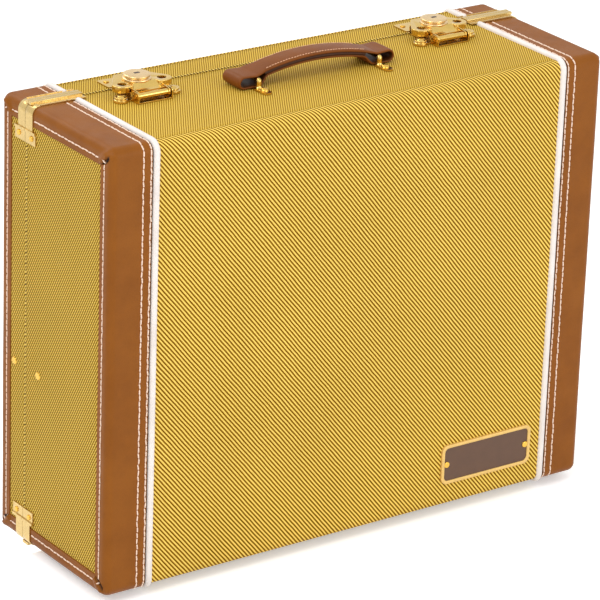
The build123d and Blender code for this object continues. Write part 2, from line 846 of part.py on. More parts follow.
def latch_base(x):
    """The plate on the case with two cheeks for the roller, and four rivet seats."""
    back = seam - latch_back_gap
    with BuildPart() as base:
        box_between(
            (x - latch_half_width, latch_front, tweed_top),
            (x + latch_half_width, back, tweed_top + latch_plate),
        )
        for side in (-1, 1):
            near, far = sorted((x + side * latch_half_width, x + side * (latch_half_width - latch_wall)))
            box_between(
                (near, latch_front, tweed_top),
                (far, latch_front + latch_wall_length, tweed_top + latch_wall_height),
            )
            corners = base.edges().filter_by(Axis.X).group_by(Axis.Z)[-1]
            fillet(corners, latch_wall * 2)
            with BuildSketch(plane_at(x + side * ear_x, ear_y, tweed_top, (0, 0, 1))):
                Circle(ear_radius)
            extrude(amount=ear_thickness)
            ear_near, ear_far = sorted((x + side * ear_x, x + side * (latch_half_width - latch_wall)))
            box_between(
                (ear_near, ear_y - ear_radius / 2, tweed_top),
                (ear_far, ear_y + ear_radius / 2, tweed_top + latch_plate),
            )
            with BuildSketch(plane_at(x + side * lug_x, lug_y, tweed_top, (0, 0, 1))):
                Circle(lug_radius)
            extrude(amount=latch_plate)
        with BuildSketch(plane_at(x - latch_half_width, roller_y, roller_z, (1, 0, 0))):
            Circle(roller_pin_radius + shank_clearance)
        extrude(amount=2 * latch_half_width, mode=Mode.SUBTRACT)
        drill(ear_planes, rivet_shank_radius, ear_thickness)
        drill(lug_planes, rivet_shank_radius, latch_plate)
    return base.part


def latch_roller(x):
    """The bright roller between the cheeks, on its pin."""
    reach = lever_arm_x - lever_arm_thickness / 2 - roller_end_gap
    pin_reach = latch_half_width + latch_wall / 2
    with BuildPart() as roller:
        with BuildSketch(plane_at(x - reach, roller_y, roller_z, (1, 0, 0))):
            Circle(roller_radius)
        extrude(amount=2 * reach)
        with BuildSketch(plane_at(x - pin_reach, roller_y, roller_z, (1, 0, 0))):
            Circle(roller_pin_radius)
        extrude(amount=2 * pin_reach)
    return roller.part


def lever_outline(sketch, inset):
    """The lever's shield shape, drawn in the given sketch: two lobes, a notch in front and a tail."""
    lobe = lever_lobe_radius - inset
    for side in (-1, 1):
        with Locations((side * lug_x, lug_y)):
            Circle(lobe)
        tail_x = lever_tail_half_width - inset - lever_skirt
        with Locations((side * tail_x, lever_tail_y - inset - lever_skirt)):
            Circle(lever_skirt)
    make_hull()
    depth = lever_notch_y + inset
    notch_x = lever_notch_half_width + inset
    with Locations((0, depth - lever_lobe_radius)):
        Rectangle(2 * notch_x, 2 * lever_lobe_radius, mode=Mode.SUBTRACT)
    corners = sketch.vertices().filter_by(lambda v: abs(abs(v.X) - notch_x) < shank_clearance)
    fillet(corners.group_by(Axis.Y)[1], lever_notch_fillet + inset)
    corners = sketch.vertices().filter_by(lambda v: abs(abs(v.X) - notch_x) < shank_clearance)
    fillet(corners.group_by(Axis.Y)[0], lever_notch_fillet - inset)


def latch_lever(x):
    """The shield-shaped lever: plate, skirt, curved front sheet and two arms that hold the roller's pin."""
    plane = plane_at(x, 0, lever_under - lever_skirt_height, (0, 0, 1))
    cheek = lever_arm_x - lever_arm_thickness / 2
    with BuildPart() as lever:
        with BuildSketch(plane) as outline:
            lever_outline(outline, 0)
        extrude(amount=lever_skirt_height + lever_plate)
        with BuildSketch(plane) as hollow:
            lever_outline(hollow, lever_skirt)
        extrude(amount=lever_skirt_height, mode=Mode.SUBTRACT)
        box_between(
            (x - lever_tail_half_width + lever_skirt, claw_y + claw_barrel_radius, plane.origin.Z),
            (x + lever_tail_half_width - lever_skirt, lever_tail_y + lever_skirt, lever_under),
            Mode.SUBTRACT,
        )
        fillet(lever.faces().sort_by(Axis.Z)[-1].edges(), lever_plate * 0.4)
        for side in (-1, 1):
            with BuildSketch(plane_at(x + side * lever_arm_x, roller_y, roller_z, (1, 0, 0))):
                Circle(lever_arm_radius)
                with Locations((lug_y - roller_y, lever_under - roller_z - lever_skirt_height / 2)):
                    Circle(lever_skirt_height / 2)
                make_hull()
            extrude(amount=lever_arm_thickness / 2, both=True)
        with BuildSketch(plane_at(x - cheek, 0, tweed_top, (1, 0, 0))):
            front = roller_y + roller_radius + lever_cheek_gap
            rise = roller_height + roller_radius
            with BuildLine():
                ThreePointArc(
                    (lever_notch_y, lever_top),
                    ((lever_notch_y + front) / 2, rise + lever_plate / 2),
                    (front, rise),
                )
                Line((front, rise), (front, rise - lever_skirt))
                ThreePointArc(
                    (front, rise - lever_skirt),
                    ((lever_notch_y + front) / 2 + lever_skirt / 2, rise - lever_skirt / 2),
                    (lever_notch_y + lever_skirt, lever_top - lever_skirt),
                )
                Line((lever_notch_y + lever_skirt, lever_top - lever_skirt), (lever_notch_y, lever_top))
            make_face()
        extrude(amount=2 * cheek)
        with BuildSketch(plane_at(x - lever_arm_x - lever_arm_thickness, roller_y, roller_z, (1, 0, 0))):
            Circle(roller_pin_radius + pivot_clearance)
        extrude(amount=2 * (lever_arm_x + lever_arm_thickness), mode=Mode.SUBTRACT)
        with BuildSketch(Plane.XY.offset(lever_under)):
            with Locations((x - lug_x, lug_y), (x + lug_x, lug_y)):
                Circle(lever_hole_radius)
            with Locations((x, knob_y)):
                Circle(knob_stem_radius + pivot_clearance)
        extrude(amount=lever_plate, mode=Mode.SUBTRACT)
        with BuildSketch(plane_at(x - claw_pin_reach, claw_y, claw_z, (1, 0, 0))):
            Circle(claw_pin_radius)
        extrude(amount=2 * claw_pin_reach)
    return lever.part


claw_pin_reach = lever_tail_half_width + lever_skirt


def latch_knob(x):
    """The round lock on the lever: a domed knob with a key slot, its stem and the tab under the plate."""
    head = tweed_top + lever_top + knob_gap
    with BuildPart() as knob:
        with BuildSketch(plane_at(x, knob_y, head, (0, 0, 1))):
            Circle(knob_radius)
        extrude(amount=knob_height)
        fillet(knob.edges(), knob_rim_fillet)
        with BuildSketch(plane_at(x, knob_y, head, (0, 0, 1))):
            Circle(knob_stem_radius)
        extrude(amount=-(lever_plate + 2 * knob_gap))
        with BuildSketch(plane_at(x, knob_y, lever_under - knob_gap, (0, 0, 1))):
            Rectangle(2 * knob_tab_length, knob_tab_width)
        extrude(amount=-knob_tab_thickness)
        with BuildSketch(plane_at(x, knob_y, head + knob_height, (0, 0, 1))):
            Rectangle(key_slot_length, key_slot_width)
        extrude(amount=-key_slot_depth, mode=Mode.SUBTRACT)
    return knob.part


def latch_claw(x):
    """The claw under the lever's tail that reaches over the strike on the lid."""
    under = claw_z - claw_thickness / 2
    with BuildPart() as claw:
        with BuildSketch(plane_at(x - claw_half_width, claw_y, claw_z, (1, 0, 0))):
            Circle(claw_barrel_radius)
        extrude(amount=2 * claw_half_width)
        box_between(
            (x - claw_half_width, claw_y, under), (x + claw_half_width, claw_nose_y, under + claw_thickness)
        )
        box_between(
            (x - claw_half_width, claw_nose_y - claw_thickness, under - claw_nose_drop),
            (x + claw_half_width, claw_nose_y, under + claw_thickness),
        )
        fillet(claw.edges().filter_by(Axis.X).group_by(Axis.Y)[-1].sort_by(Axis.Z)[-1], claw_thickness * 0.8)
        with BuildSketch(plane_at(x - claw_half_width, claw_y, claw_z, (1, 0, 0))):
            Circle(claw_pin_radius + pivot_clearance)
        extrude(amount=2 * claw_half_width, mode=Mode.SUBTRACT)
    return claw.part


def strike(x):
    """The plate on the lid with the upturned hook under the claw."""
    with BuildPart() as plate:
        box_between(
            (x - strike_half_width, strike_front, tweed_top),
            (x + strike_half_width, strike_back, tweed_top + strike_plate),
        )
        fillet(plate.edges().filter_by(Axis.Z), strike_corner_radius)
        box_between(
            (x - strike_hook_half_width, strike_hook_y, tweed_top),
            (x + strike_hook_half_width, strike_hook_y + strike_plate, tweed_top + strike_hook_height),
        )
        fillet(plate.edges().filter_by(Axis.Y).group_by(Axis.Z)[-1], strike_corner_radius)
        drill(strike_planes, rivet_shank_radius, strike_plate)
    return plate.part


def make_latches():
    for word, x in latch_centres.items():
        save(latch_base(x), f"latch_base_{word}")
        save(latch_lever(x), f"latch_lever_{word}")
        save(latch_knob(x), f"latch_knob_{word}")
        save(latch_claw(x), f"latch_claw_{word}")
        save(strike(x), f"strike_{word}")
    with BuildPart() as rollers:
        for x in latch_centres.values():
            add(latch_roller(x))
    save(rollers.part, "latch_rollers")
    ear_rivets = fasteners(
        ear_planes, rivet_head_radius, rivet_head_height, rivet_shank_radius, ear_thickness + shank_depth
    )
    lug_rivets = fasteners(
        lug_planes, small_head_radius, rivet_head_height, rivet_shank_radius, latch_plate + shank_depth
    )
    with BuildPart() as rivets:
        add(ear_rivets)
        add(lug_rivets)
    save(rivets.part, "latch_rivets")
    strike_rivets = fasteners(
        strike_planes, small_head_radius, small_head_height, rivet_shank_radius, strike_plate + shank_depth
    )
    save(strike_rivets, "strike_rivets")


# ---------------------------------------------------------------- lid stays
def stay_bar(side, face_x, ends, hole_radii):
    """A flat bar between two pivots, on one side of the case, with its outer face at face_x."""
    (y0, z0), (y1, z1) = ends
    angle = degrees(atan2(z1 - z0, y1 - y0))
    length = hypot(y1 - y0, z1 - z0)
    plane = plane_at(side * face_x, (y0 + y1) / 2, (z0 + z1) / 2, (side, 0, 0))
    with BuildPart() as bar:
        with BuildSketch(plane):
            SlotCenterToCenter(length, stay_bar_width, rotation=angle if side > 0 else -angle)
        extrude(amount=-stay_bar_thickness)
        for (y, z), radius in zip(ends, hole_radii):
            if radius:
                with BuildSketch(plane_at(side * face_x, y, z, (side, 0, 0))):
                    Circle(radius)
                extrude(amount=-stay_bar_thickness, mode=Mode.SUBTRACT)
    return bar.part


def stay_pivot(side, y, z, bar_face_x):
    """A rivet from the end face through the wall: outer head, shank, collar and inner head."""
    bar_back = bar_face_x - stay_bar_thickness
    with BuildPart() as pivot:
        outside = plane_at(side * tweed_end, y, z, (side, 0, 0))
        with BuildSketch(outside):
            Circle(stay_head_radius)
        extrude(amount=stay_head_height)
        fillet(pivot.faces().sort_by(Axis.X)[-1 if side > 0 else 0].edges(), stay_head_height * 0.8)
        with BuildSketch(outside):
            Circle(stay_pin_radius)
        extrude(amount=-(tweed_end - bar_back + stay_play))
        lining_x = cavity_x - lining_thickness
        with BuildSketch(plane_at(side * lining_x, y, z, (side, 0, 0))):
            Circle(stay_collar_radius)
        extrude(amount=-(lining_x - bar_face_x - stay_play))
        with BuildSketch(plane_at(side * (bar_back - stay_play), y, z, (side, 0, 0))):
            Circle(stay_head_radius)
        extrude(amount=-stay_head_height)
    return pivot.part


def make_stays():
    body_pivot = (stay_body_y, stay_body_z)
    lid_pivot = (stay_lid_y, stay_lid_z)
    elbow = (elbow_y, elbow_z)
    hole = stay_pin_radius + pivot_clearance
    for side, word in ((-1, "left"), (1, "right")):
        with BuildPart() as body_bar:
            add(stay_bar(side, outer_bar_x, (body_pivot, elbow), (hole, 0)))
            pin_length = 2 * stay_bar_thickness + stay_bar_gap + stay_play
            with BuildSketch(plane_at(side * outer_bar_x, *elbow, (side, 0, 0))):
                Circle(elbow_pin_radius)
            extrude(amount=-pin_length)
            with BuildSketch(plane_at(side * (outer_bar_x - pin_length), *elbow, (side, 0, 0))):
                Circle(elbow_pin_radius + elbow_clearance * 2)
            extrude(amount=-stay_head_height)
        save(body_bar.part, f"stay_bar_body_{word}")
        lid_bar = stay_bar(side, inner_bar_x, (lid_pivot, elbow), (hole, elbow_pin_radius + elbow_clearance))
        save(lid_bar, f"stay_bar_lid_{word}")
    with BuildPart() as body_pivots:
        for side in (-1, 1):
            add(stay_pivot(side, *body_pivot, outer_bar_x))
    save(body_pivots.part, "stay_pivots_body")
    with BuildPart() as lid_pivots:
        for side in (-1, 1):
            add(stay_pivot(side, *lid_pivot, inner_bar_x))
    save(lid_pivots.part, "stay_pivots_lid")


make_body_shell()
make_lid_shell()
make_rim()
make_linings()
make_covers()
make_piping()
make_feet()
make_hinges()
make_guards()
make_badge()
make_handle()
make_latches()
make_stays()
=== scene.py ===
"""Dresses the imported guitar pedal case: tweed, stitched leather, piping, brass, linings and studio."""

import json
import math
import random
from collections import namedtuple

import bmesh
import bpy
import numpy as np
from mathutils import Matrix, Vector


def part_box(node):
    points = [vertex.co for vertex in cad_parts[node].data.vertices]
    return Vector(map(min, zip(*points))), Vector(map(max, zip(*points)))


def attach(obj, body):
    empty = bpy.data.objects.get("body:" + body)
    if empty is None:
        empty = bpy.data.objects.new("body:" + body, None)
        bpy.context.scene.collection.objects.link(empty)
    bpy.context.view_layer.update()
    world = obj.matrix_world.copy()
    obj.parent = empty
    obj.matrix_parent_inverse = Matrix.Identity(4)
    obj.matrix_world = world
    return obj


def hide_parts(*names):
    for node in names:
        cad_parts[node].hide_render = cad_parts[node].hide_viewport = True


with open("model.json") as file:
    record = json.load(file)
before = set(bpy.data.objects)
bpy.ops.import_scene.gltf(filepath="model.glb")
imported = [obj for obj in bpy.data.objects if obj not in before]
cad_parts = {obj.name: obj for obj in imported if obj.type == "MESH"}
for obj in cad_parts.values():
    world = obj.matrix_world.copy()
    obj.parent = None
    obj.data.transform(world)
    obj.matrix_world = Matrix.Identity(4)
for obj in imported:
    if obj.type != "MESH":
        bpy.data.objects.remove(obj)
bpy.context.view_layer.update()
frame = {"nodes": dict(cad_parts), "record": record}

MM = 0.001
QUARTER = math.pi / 2
TURN = 2 * math.pi
SHELLS = ((-1, "case_body", "body"), (1, "lid", "lid"))  # way along Y from the seam, body, prefix of names
ENDS = ((-1, "left"), (1, "right"))
rng = random.Random(7)

# ---- places read from the frame


def corners_of(*nodes):
    """Lowest and highest corner of CAD nodes together."""
    boxes = [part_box(n) for n in nodes]
    low = [min(b[0][k] for b in boxes) for k in range(3)]
    high = [max(b[1][k] for b in boxes) for k in range(3)]
    return np.array(low), np.array(high)


leather_low, leather_high = corners_of(
    "body_leather_left", "body_leather_right", "lid_leather_left", "lid_leather_right"
)
half_length = leather_high[0]
seam = (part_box("body_shell")[1][1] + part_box("lid_shell")[0][1]) / 2
seam_half = (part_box("lid_shell")[0][1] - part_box("body_shell")[1][1]) / 2
tweed_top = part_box("body_tweed_cover")[1][2]
tweed_step = leather_high[2] - tweed_top
tweed_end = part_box("body_tweed_ends")[1][0]
piping_x = (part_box("body_tweed_cover")[1][0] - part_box("body_tweed_cover")[0][0]) / 2

# ---- sizes of the covering
LONG_EDGE_RADIUS = 9.0 * MM
END_EDGE_RADIUS = 7.0 * MM
LEATHER_BORDER = 17.0 * MM
PIPING_RADIUS = 3.1 * MM
PIPING_SINK = 0.35 * MM
PIPING_GROOVE = 0.7 * MM
PIPING_UNEVEN = 0.006  # of its radius
STITCH_ROWS = (5.5 * MM, 12.9 * MM)  # from the piping's axis
BORDER_STITCH_DEPTH = 11.2 * MM  # from the edge of the end face
CLOTH_LAP_STEP = 0.35 * MM
CLOTH_RIM = 0.5 * MM  # turned in where the cloth ends

# ---- small mesh tools


def add_piece(name, verts, faces, body, material, smooth=True):
    """A mesh object at the origin that rides on a CAD body."""
    mesh = bpy.data.meshes.new(name)
    mesh.from_pydata([tuple(v) for v in verts], [], [tuple(f) for f in faces])
    mesh.validate()
    mesh.update()
    piece = bpy.data.objects.new(name, mesh)
    bpy.context.scene.collection.objects.link(piece)
    mesh.materials.append(material)
    if smooth:
        mesh.polygons.foreach_set("use_smooth", [True] * len(mesh.polygons))
    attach(piece, body)
    return piece


def grid_faces(rows, columns, close_rows=False, close_columns=False, start=0):
    """Quads between the points of a grid that is stored row by row."""
    faces = []
    for i in range(rows if close_rows else rows - 1):
        for j in range(columns if close_columns else columns - 1):
            a = i * columns + j
            b = i * columns + (j + 1) % columns
            c = ((i + 1) % rows) * columns + (j + 1) % columns
            d = ((i + 1) % rows) * columns + j
            faces.append((start + a, start + b, start + c, start + d))
    return faces


class Heap:
    """Collects the vertices and faces of one piece."""

    def __init__(self):
        self.verts = []
        self.faces = []

    def grid(self, points, close_rows=False, close_columns=False, flip=False):
        rows, columns = points.shape[:2]
        faces = grid_faces(rows, columns, close_rows, close_columns, len(self.verts))
        self.faces += [f[::-1] for f in faces] if flip else faces
        self.verts += [tuple(p) for p in points.reshape(-1, 3)]

    def fan(self, ring, flip=False):
        """A flat n-gon over a ring of points."""
        start = len(self.verts)
        self.verts += [tuple(p) for p in ring]
        face = tuple(range(start, start + len(ring)))
        self.faces.append(face[::-1] if flip else face)

    def bar(self, points, close_rows=False):
        """A closed skin over rings of points, with flat ends unless it closes on itself."""
        self.grid(points, close_rows=close_rows, close_columns=True)
        if not close_rows:
            self.fan(points[0], flip=True)
            self.fan(points[-1])

    def lathe(self, profile, centre, segments):
        """Turns (radius, height) pairs in millimetres round an upright axis."""
        centre = np.array(centre)
        side = np.array(Vector((0, 0, 1)).orthogonal().normalized())
        other = np.cross((0, 0, 1), side)
        angles = np.linspace(0, TURN, segments, endpoint=False)
        rays = [side * math.cos(a) + other * math.sin(a) for a in angles]
        rows = [[centre + d * r * MM + (0, 0, h * MM) for d in rays] for r, h in profile]
        self.bar(np.array(rows))


def smooth(x, low, high):
    """0 below low, 1 above high, with a soft step between."""
    t = np.clip((x - low) / (high - low), 0.0, 1.0)
    return t * t * (3 - 2 * t)


def rounded_rectangle(half_x, half_z, radius, steps=8):
    """A ring of points, counter-clockwise, with steps + 1 of them in each corner."""
    points = []
    for quarter, (qx, qz) in enumerate(((1, 1), (-1, 1), (-1, -1), (1, -1))):
        for k in range(steps + 1):
            a = (quarter + k / steps) * QUARTER
            x = qx * (half_x - radius) + radius * math.cos(a)
            points.append((x, qz * (half_z - radius) + radius * math.sin(a)))
    return points


def fill_sides(points, per_corner, samples):
    """Adds evenly spaced points to a rounded rectangle's straight sides."""
    ring = []
    for k in range(0, len(points), per_corner):
        ring += points[k : k + per_corner]
        first = np.array(ring[-1])
        last = np.array(points[(k + per_corner) % len(points)])
        ring += [tuple(first + (last - first) * t) for t in np.linspace(0, 1, samples + 2)[1:-1]]
    return ring


# ---- the way round a shell
ARC_STEPS = 12
FINE_REACH = 24 * MM
Station = namedtuple("Station", "kind start end share normal centre diagonal corners length")


def leg_shares(run, corners, coarse, fine, fine_reach):
    """Shares along a straight leg, close together near the corners that it meets."""
    shares = [0.0]
    at = 0.0
    while at < run - fine / 2:
        near = min(at if corners[0] else run, run - at if corners[1] else run)
        at += fine if near < fine_reach else coarse
        shares.append(min(at / run, 1.0))
    shares[-1] = 1.0
    return shares


def shell_path(way, inset, coarse, fine, fine_reach=FINE_REACH):
    """Stations round one shell, from the seam's underside over the large face to the seam's top.

    Way -1 is the front shell and 1 the lid. A station's length is the way along the path so far."""
    radius = LONG_EDGE_RADIUS - inset
    face = (leather_low[1] + inset) if way < 0 else (leather_high[1] - inset)
    low, high = leather_low[2] + inset, leather_high[2] - inset
    edge = seam + way * seam_half
    turn = face - way * radius
    legs = (
        ((edge, low), (turn, low), (0, -1), (False, True)),
        ((face, low + radius), (face, high - radius), (way, 0), (True, True)),
        ((turn, high), (edge, high), (0, 1), (True, False)),
    )
    arcs = (
        ((turn, low + radius), (way, -1), (0, -1), (way, 0)),
        ((turn, high - radius), (way, 1), (way, 0), (0, 1)),
    )
    stations = []
    length = 0.0
    for k, (start, end, normal, corners) in enumerate(legs):
        run = math.dist(start, end)
        for share in leg_shares(run, corners, coarse, fine, fine_reach):
            at = length + share * run
            stations.append(Station("straight", start, end, share, normal, None, None, corners, at))
        length += run
        if k == len(arcs):
            break
        centre, diagonal, first, last = arcs[k]
        for step in range(1, ARC_STEPS):
            a = step / ARC_STEPS * QUARTER
            out = tuple(f * math.cos(a) + g * math.sin(a) for f, g in zip(first, last))
            at = length + radius * a
            stations.append(Station("arc", None, None, 0.0, out, centre, diagonal, None, at))
        length += radius * QUARTER
    return stations, radius


def station_point(station, radius, depth):
    """The (y, z) of a station, `depth` inside the surface; the ways in meet on the corners' mitres."""
    normal = station.normal
    if station.kind == "arc":
        reach = radius - depth
        way = normal if reach >= 0 else station.diagonal
        return station.centre[0] + way[0] * reach, station.centre[1] + way[1] * reach
    start, end = station.start, station.end
    run = math.dist(start, end)
    along = ((end[0] - start[0]) / run, (end[1] - start[1]) / run)
    extra = max(depth - radius, 0.0)
    first, last = (extra if corner else 0.0 for corner in station.corners)
    at = first + station.share * (run - first - last)
    return tuple(start[k] + along[k] * at - normal[k] * depth for k in (0, 1))


# ---- materials


class Nodes:
    """A short way to write the nodes of a new material, or of a tree that is given."""

    def __init__(self, name, tree=None):
        if tree is None:
            self.material = bpy.data.materials.new(name)
            self.material.use_nodes = True
            tree = self.material.node_tree
        self.tree = tree
        self.shader = tree.nodes.get("Principled BSDF")

    def add(self, kind, inputs=None, **settings):
        node = self.tree.nodes.new(kind)
        for key, value in settings.items():
            setattr(node, key, value)
        for key, value in (inputs or {}).items():
            self.put(node.inputs[key], value)
        return node

    def put(self, socket, value):
        if isinstance(value, bpy.types.NodeSocket):
            self.tree.links.new(value, socket)
        else:
            socket.default_value = value

    def set(self, **values):
        for key, value in values.items():
            self.put(self.shader.inputs[key.replace("_", " ")], value)

    def math(self, operation, a, b=0.0, c=0.0):
        return self.add("ShaderNodeMath", {0: a, 1: b, 2: c}, operation=operation).outputs[0]

    def sine(self, phase):
        """The sine of a phase that is counted in whole turns."""
        return self.math("SINE", self.math("MULTIPLY", phase, TURN))

    def ramp(self, factor, stops):
        node = self.add("ShaderNodeValToRGB", {"Fac": factor})
        elements = node.color_ramp.elements
        while len(elements) < len(stops):
            elements.new(1.0)
        for element, (position, colour) in zip(elements, stops):
            element.position = position
            element.color = (*colour, 1.0)
        return node.outputs["Color"]

    def mix(self, factor, a, b, blend="MIX"):
        node = self.add("ShaderNodeMix", data_type="RGBA", blend_type=blend)
        for socket, value in ((0, factor), (6, a), (7, b)):
            self.put(node.inputs[socket], value)
        return node.outputs[2]

    def place(self):
        """The point in the frame, in metres."""
        return self.add("ShaderNodeTexCoord").outputs["Object"]

    def stretch(self, scale):
        """The point in the frame, scaled along each axis."""
        return self.add("ShaderNodeMapping", {"Vector": self.place(), "Scale": scale}).outputs[0]

    def noise(self, scale, detail=3.0, roughness=0.5, vector=None):
        vector = self.place() if vector is None else vector
        inputs = {"Scale": scale, "Detail": detail, "Roughness": roughness, "Vector": vector}
        return self.add("ShaderNodeTexNoise", inputs).outputs["Fac"]

    def mottle(self, scale, detail, dark, pale, roughness=0.5, stop=0.7):
        """Soft patches of two colours."""
        return self.ramp(self.noise(scale, detail, roughness), [(0.3, dark), (stop, pale)])

    def bump(self, height, distance, strength):
        inputs = {"Height": height, "Distance": distance, "Strength": strength}
        return self.add("ShaderNodeBump", inputs).outputs["Normal"]

    def background_rays(self):
        """1 for camera, glossy and transmission rays, which show the white background."""
        rays = self.add("ShaderNodeLightPath").outputs
        mirrored = self.math("MAXIMUM", rays["Is Glossy Ray"], rays["Is Transmission Ray"])
        return self.math("MAXIMUM", rays["Is Camera Ray"], mirrored)


def srgb(r, g, b):
    """A colour given as it is seen, 0 to 255, as the linear values that Blender takes."""
    return tuple((c / 255 / 12.92) if c < 10.3 else ((c / 255 + 0.055) / 1.055) ** 2.4 for c in (r, g, b))


def dim(tone, share):
    return tuple(c * share for c in tone)


BLACK = (0.0, 0.0, 0.0)
WHITE = (1.0, 1.0, 1.0)
WEAVE_DARK = srgb(84, 52, 0)
WEAVE_OCHRE = srgb(160, 112, 16)
WEAVE_YELLOW = srgb(240, 194, 66)
WEAVE_CREST_HIGHLIGHT = srgb(255, 230, 136)
WEAVE_MEAN = srgb(206, 164, 52)
# Colours across one twill stripe: dark, ochre and yellow yarn, with a painted highlight in the middle, on
# the crest where the bump's ridge is highest.
TWILL = (
    (0.00, WEAVE_DARK),
    (0.16, WEAVE_OCHRE),
    (0.27, WEAVE_YELLOW),
    (0.48, WEAVE_CREST_HIGHLIGHT),
    (0.68, WEAVE_YELLOW),
    (0.80, WEAVE_OCHRE),
    (0.92, WEAVE_DARK),
)
# Colour of the painted shade in the leather's corner slits, the groove beside the piping and the strap's
# inner face.
FOLD_SHADE = srgb(30, 14, 6)


def wave(n, uv, degrees, pitch):
    """Phase of stripes `pitch` apart, whose normal lies at `degrees` in the cloth's own UV metres."""
    a = math.radians(degrees)
    turn = (math.cos(a) / pitch, math.sin(a) / pitch, 0.0)
    return n.add("ShaderNodeVectorMath", {0: uv, 1: turn}, operation="DOT_PRODUCT").outputs["Value"]


def tweed_material(name, degrees, pitch, contrast, cross, tone=1.0):
    """Lacquered tweed: twill stripes of dark and pale yarn with a painted highlight along each stripe's
    crest, crossed by the steps of the single yarns, which are painted as shade.
    """
    n = Nodes(name)
    uv = n.add("ShaderNodeUVMap", uv_map="weave").outputs["UV"]
    wander = n.noise(60.0, 2.0, vector=uv)
    stripes = n.math("MULTIPLY_ADD", wander, 0.3, wave(n, uv, degrees, pitch))
    step = n.sine(wave(n, uv, degrees + 62, pitch * 0.5))
    phase = n.math("FRACT", n.math("MULTIPLY_ADD", step, 0.045, stripes))
    calm = n.mix(1 - contrast, n.ramp(phase, TWILL), (*dim(WEAVE_MEAN, tone), 1.0))
    # Painted shade along the yarns' crossings and steps, multiplied into the colour.
    crossing = n.sine(wave(n, uv, degrees + 40, pitch * 0.92))
    shade = n.math("MULTIPLY_ADD", crossing, cross, 1 - cross)
    shade = n.math("MULTIPLY", shade, n.math("MULTIPLY_ADD", step, 0.07, 0.96))
    grey = n.add("ShaderNodeCombineColor", {0: shade, 1: shade, 2: shade}).outputs[0]
    woven = n.mix(1.0, calm, grey, "MULTIPLY")
    patches = n.mottle(9.0, 3.0, (0.92, 0.92, 0.88), (1.0, 1.0, 0.97))
    colour = n.mix(1.0, woven, patches, "MULTIPLY")
    ridge = n.math("SINE", n.math("MULTIPLY_ADD", phase, TURN, -QUARTER))
    height = n.math("MULTIPLY_ADD", step, 0.3, ridge)
    height = n.math("MULTIPLY_ADD", n.noise(2600.0, 2.0, vector=uv), 0.5, height)
    n.set(Base_Color=colour, Roughness=0.6, Normal=n.bump(height, 0.12 * MM, 0.7), Specular_IOR_Level=0.06)
    return n.material


def leather_material(name, tone, deep):
    """Smooth saddle leather: soft mottling, fine grain, and painted shade where the mesh marks it, in the
    corner slits, the groove beside the piping and the strap's inner face.
    """
    n = Nodes(name)
    patches = n.ramp(n.noise(28.0, 4.0, 0.6), [(0.35, BLACK), (0.75, WHITE)])
    base = n.mix(patches, (*tone, 1.0), (*deep, 1.0))
    pores = n.add(
        "ShaderNodeTexVoronoi", {"Vector": n.place(), "Scale": 900.0}, feature="DISTANCE_TO_EDGE"
    ).outputs["Distance"]
    cells = n.ramp(pores, [(0.0, BLACK), (0.12, WHITE)])
    base = n.mix(0.10, base, n.mix(1.0, base, cells, "MULTIPLY"))
    # Painted shade, blended in as far as the mesh's attribute marks it.
    painted_shade = n.add("ShaderNodeAttribute", attribute_name="painted_shade").outputs["Fac"]
    base = n.mix(painted_shade, base, (*FOLD_SHADE, 1.0))
    rough = n.mottle(60.0, 3.0, (0.40,) * 3, (0.50,) * 3)
    grain = n.math("MULTIPLY_ADD", n.noise(1500.0, 4.0, 0.65), 1.0, n.math("MULTIPLY", cells, 0.6))
    n.set(Base_Color=base, Roughness=rough, Normal=n.bump(grain, 0.05 * MM, 0.55), Specular_IOR_Level=0.16)
    return n.material


def thread_material(name, tone):
    """Waxed sewing thread, with the twist of its plies and painted shade in the grooves between them."""
    n = Nodes(name)
    plies = n.add(
        "ShaderNodeTexWave",
        {"Vector": n.place(), "Scale": 420.0, "Distortion": 1.5},
        bands_direction="DIAGONAL",
    ).outputs["Fac"]
    # Painted shade: darker in the grooves between the plies, where the bump is lowest.
    shade = n.ramp(plies, [(0.0, dim(tone, 0.72)), (0.6, tone)])
    n.set(Base_Color=shade, Roughness=0.6, Normal=n.bump(plies, 0.08 * MM, 0.5))
    return n.material


def piping_material():
    """Off-white vinyl piping with a faint pebbled skin."""
    n = Nodes("white_piping")
    soil = n.mottle(40.0, 4.0, srgb(226, 217, 211), srgb(238, 231, 226), stop=0.65)
    skin = n.bump(n.noise(1400.0, 3.0), 0.05 * MM, 0.4)
    n.set(Base_Color=soil, Roughness=0.42, Normal=skin, Specular_IOR_Level=0.4)
    return n.material


def brass_material(name, tone, roughness, brushed=0.0):
    """Polished gold-coloured plate with faint tarnish and hairline wear."""
    n = Nodes(name)
    colour = n.mottle(120.0, 4.0, dim(tone, 0.86), tone, 0.6)
    rough = n.mottle(300.0, 3.0, (roughness,) * 3, (roughness * 1.7,) * 3, stop=0.75)
    hair = n.noise(1.0, 3.0, vector=n.stretch((60.0, 3000.0, 800.0)))
    n.set(Base_Color=colour, Roughness=rough, Normal=n.bump(hair, 0.02 * MM, 0.08 + brushed), Metallic=1.0)
    return n.material


def wood_material(name, pale, dark, ring_scale):
    """Wood with a stretched grain along the case."""
    n = Nodes(name)
    grain = n.noise(1.0, 6.0, 0.6, vector=n.stretch((6.0, ring_scale, ring_scale)))
    colour = n.ramp(grain, [(0.3, dark), (0.7, pale)])
    n.set(Base_Color=colour, Roughness=0.5, Normal=n.bump(grain, 0.1 * MM, 0.3))
    return n.material


def plush_material():
    """Short-pile plush lining."""
    n = Nodes("plush_lining")
    shade = n.mottle(35.0, 5.0, srgb(74, 20, 20), srgb(112, 34, 32), 0.7)
    pile = n.bump(n.noise(1800.0, 3.0, 0.7), 0.5 * MM, 0.7)
    n.set(Base_Color=shade, Roughness=0.9, Normal=pile, Sheen_Weight=0.5, Sheen_Roughness=0.4)
    return n.material


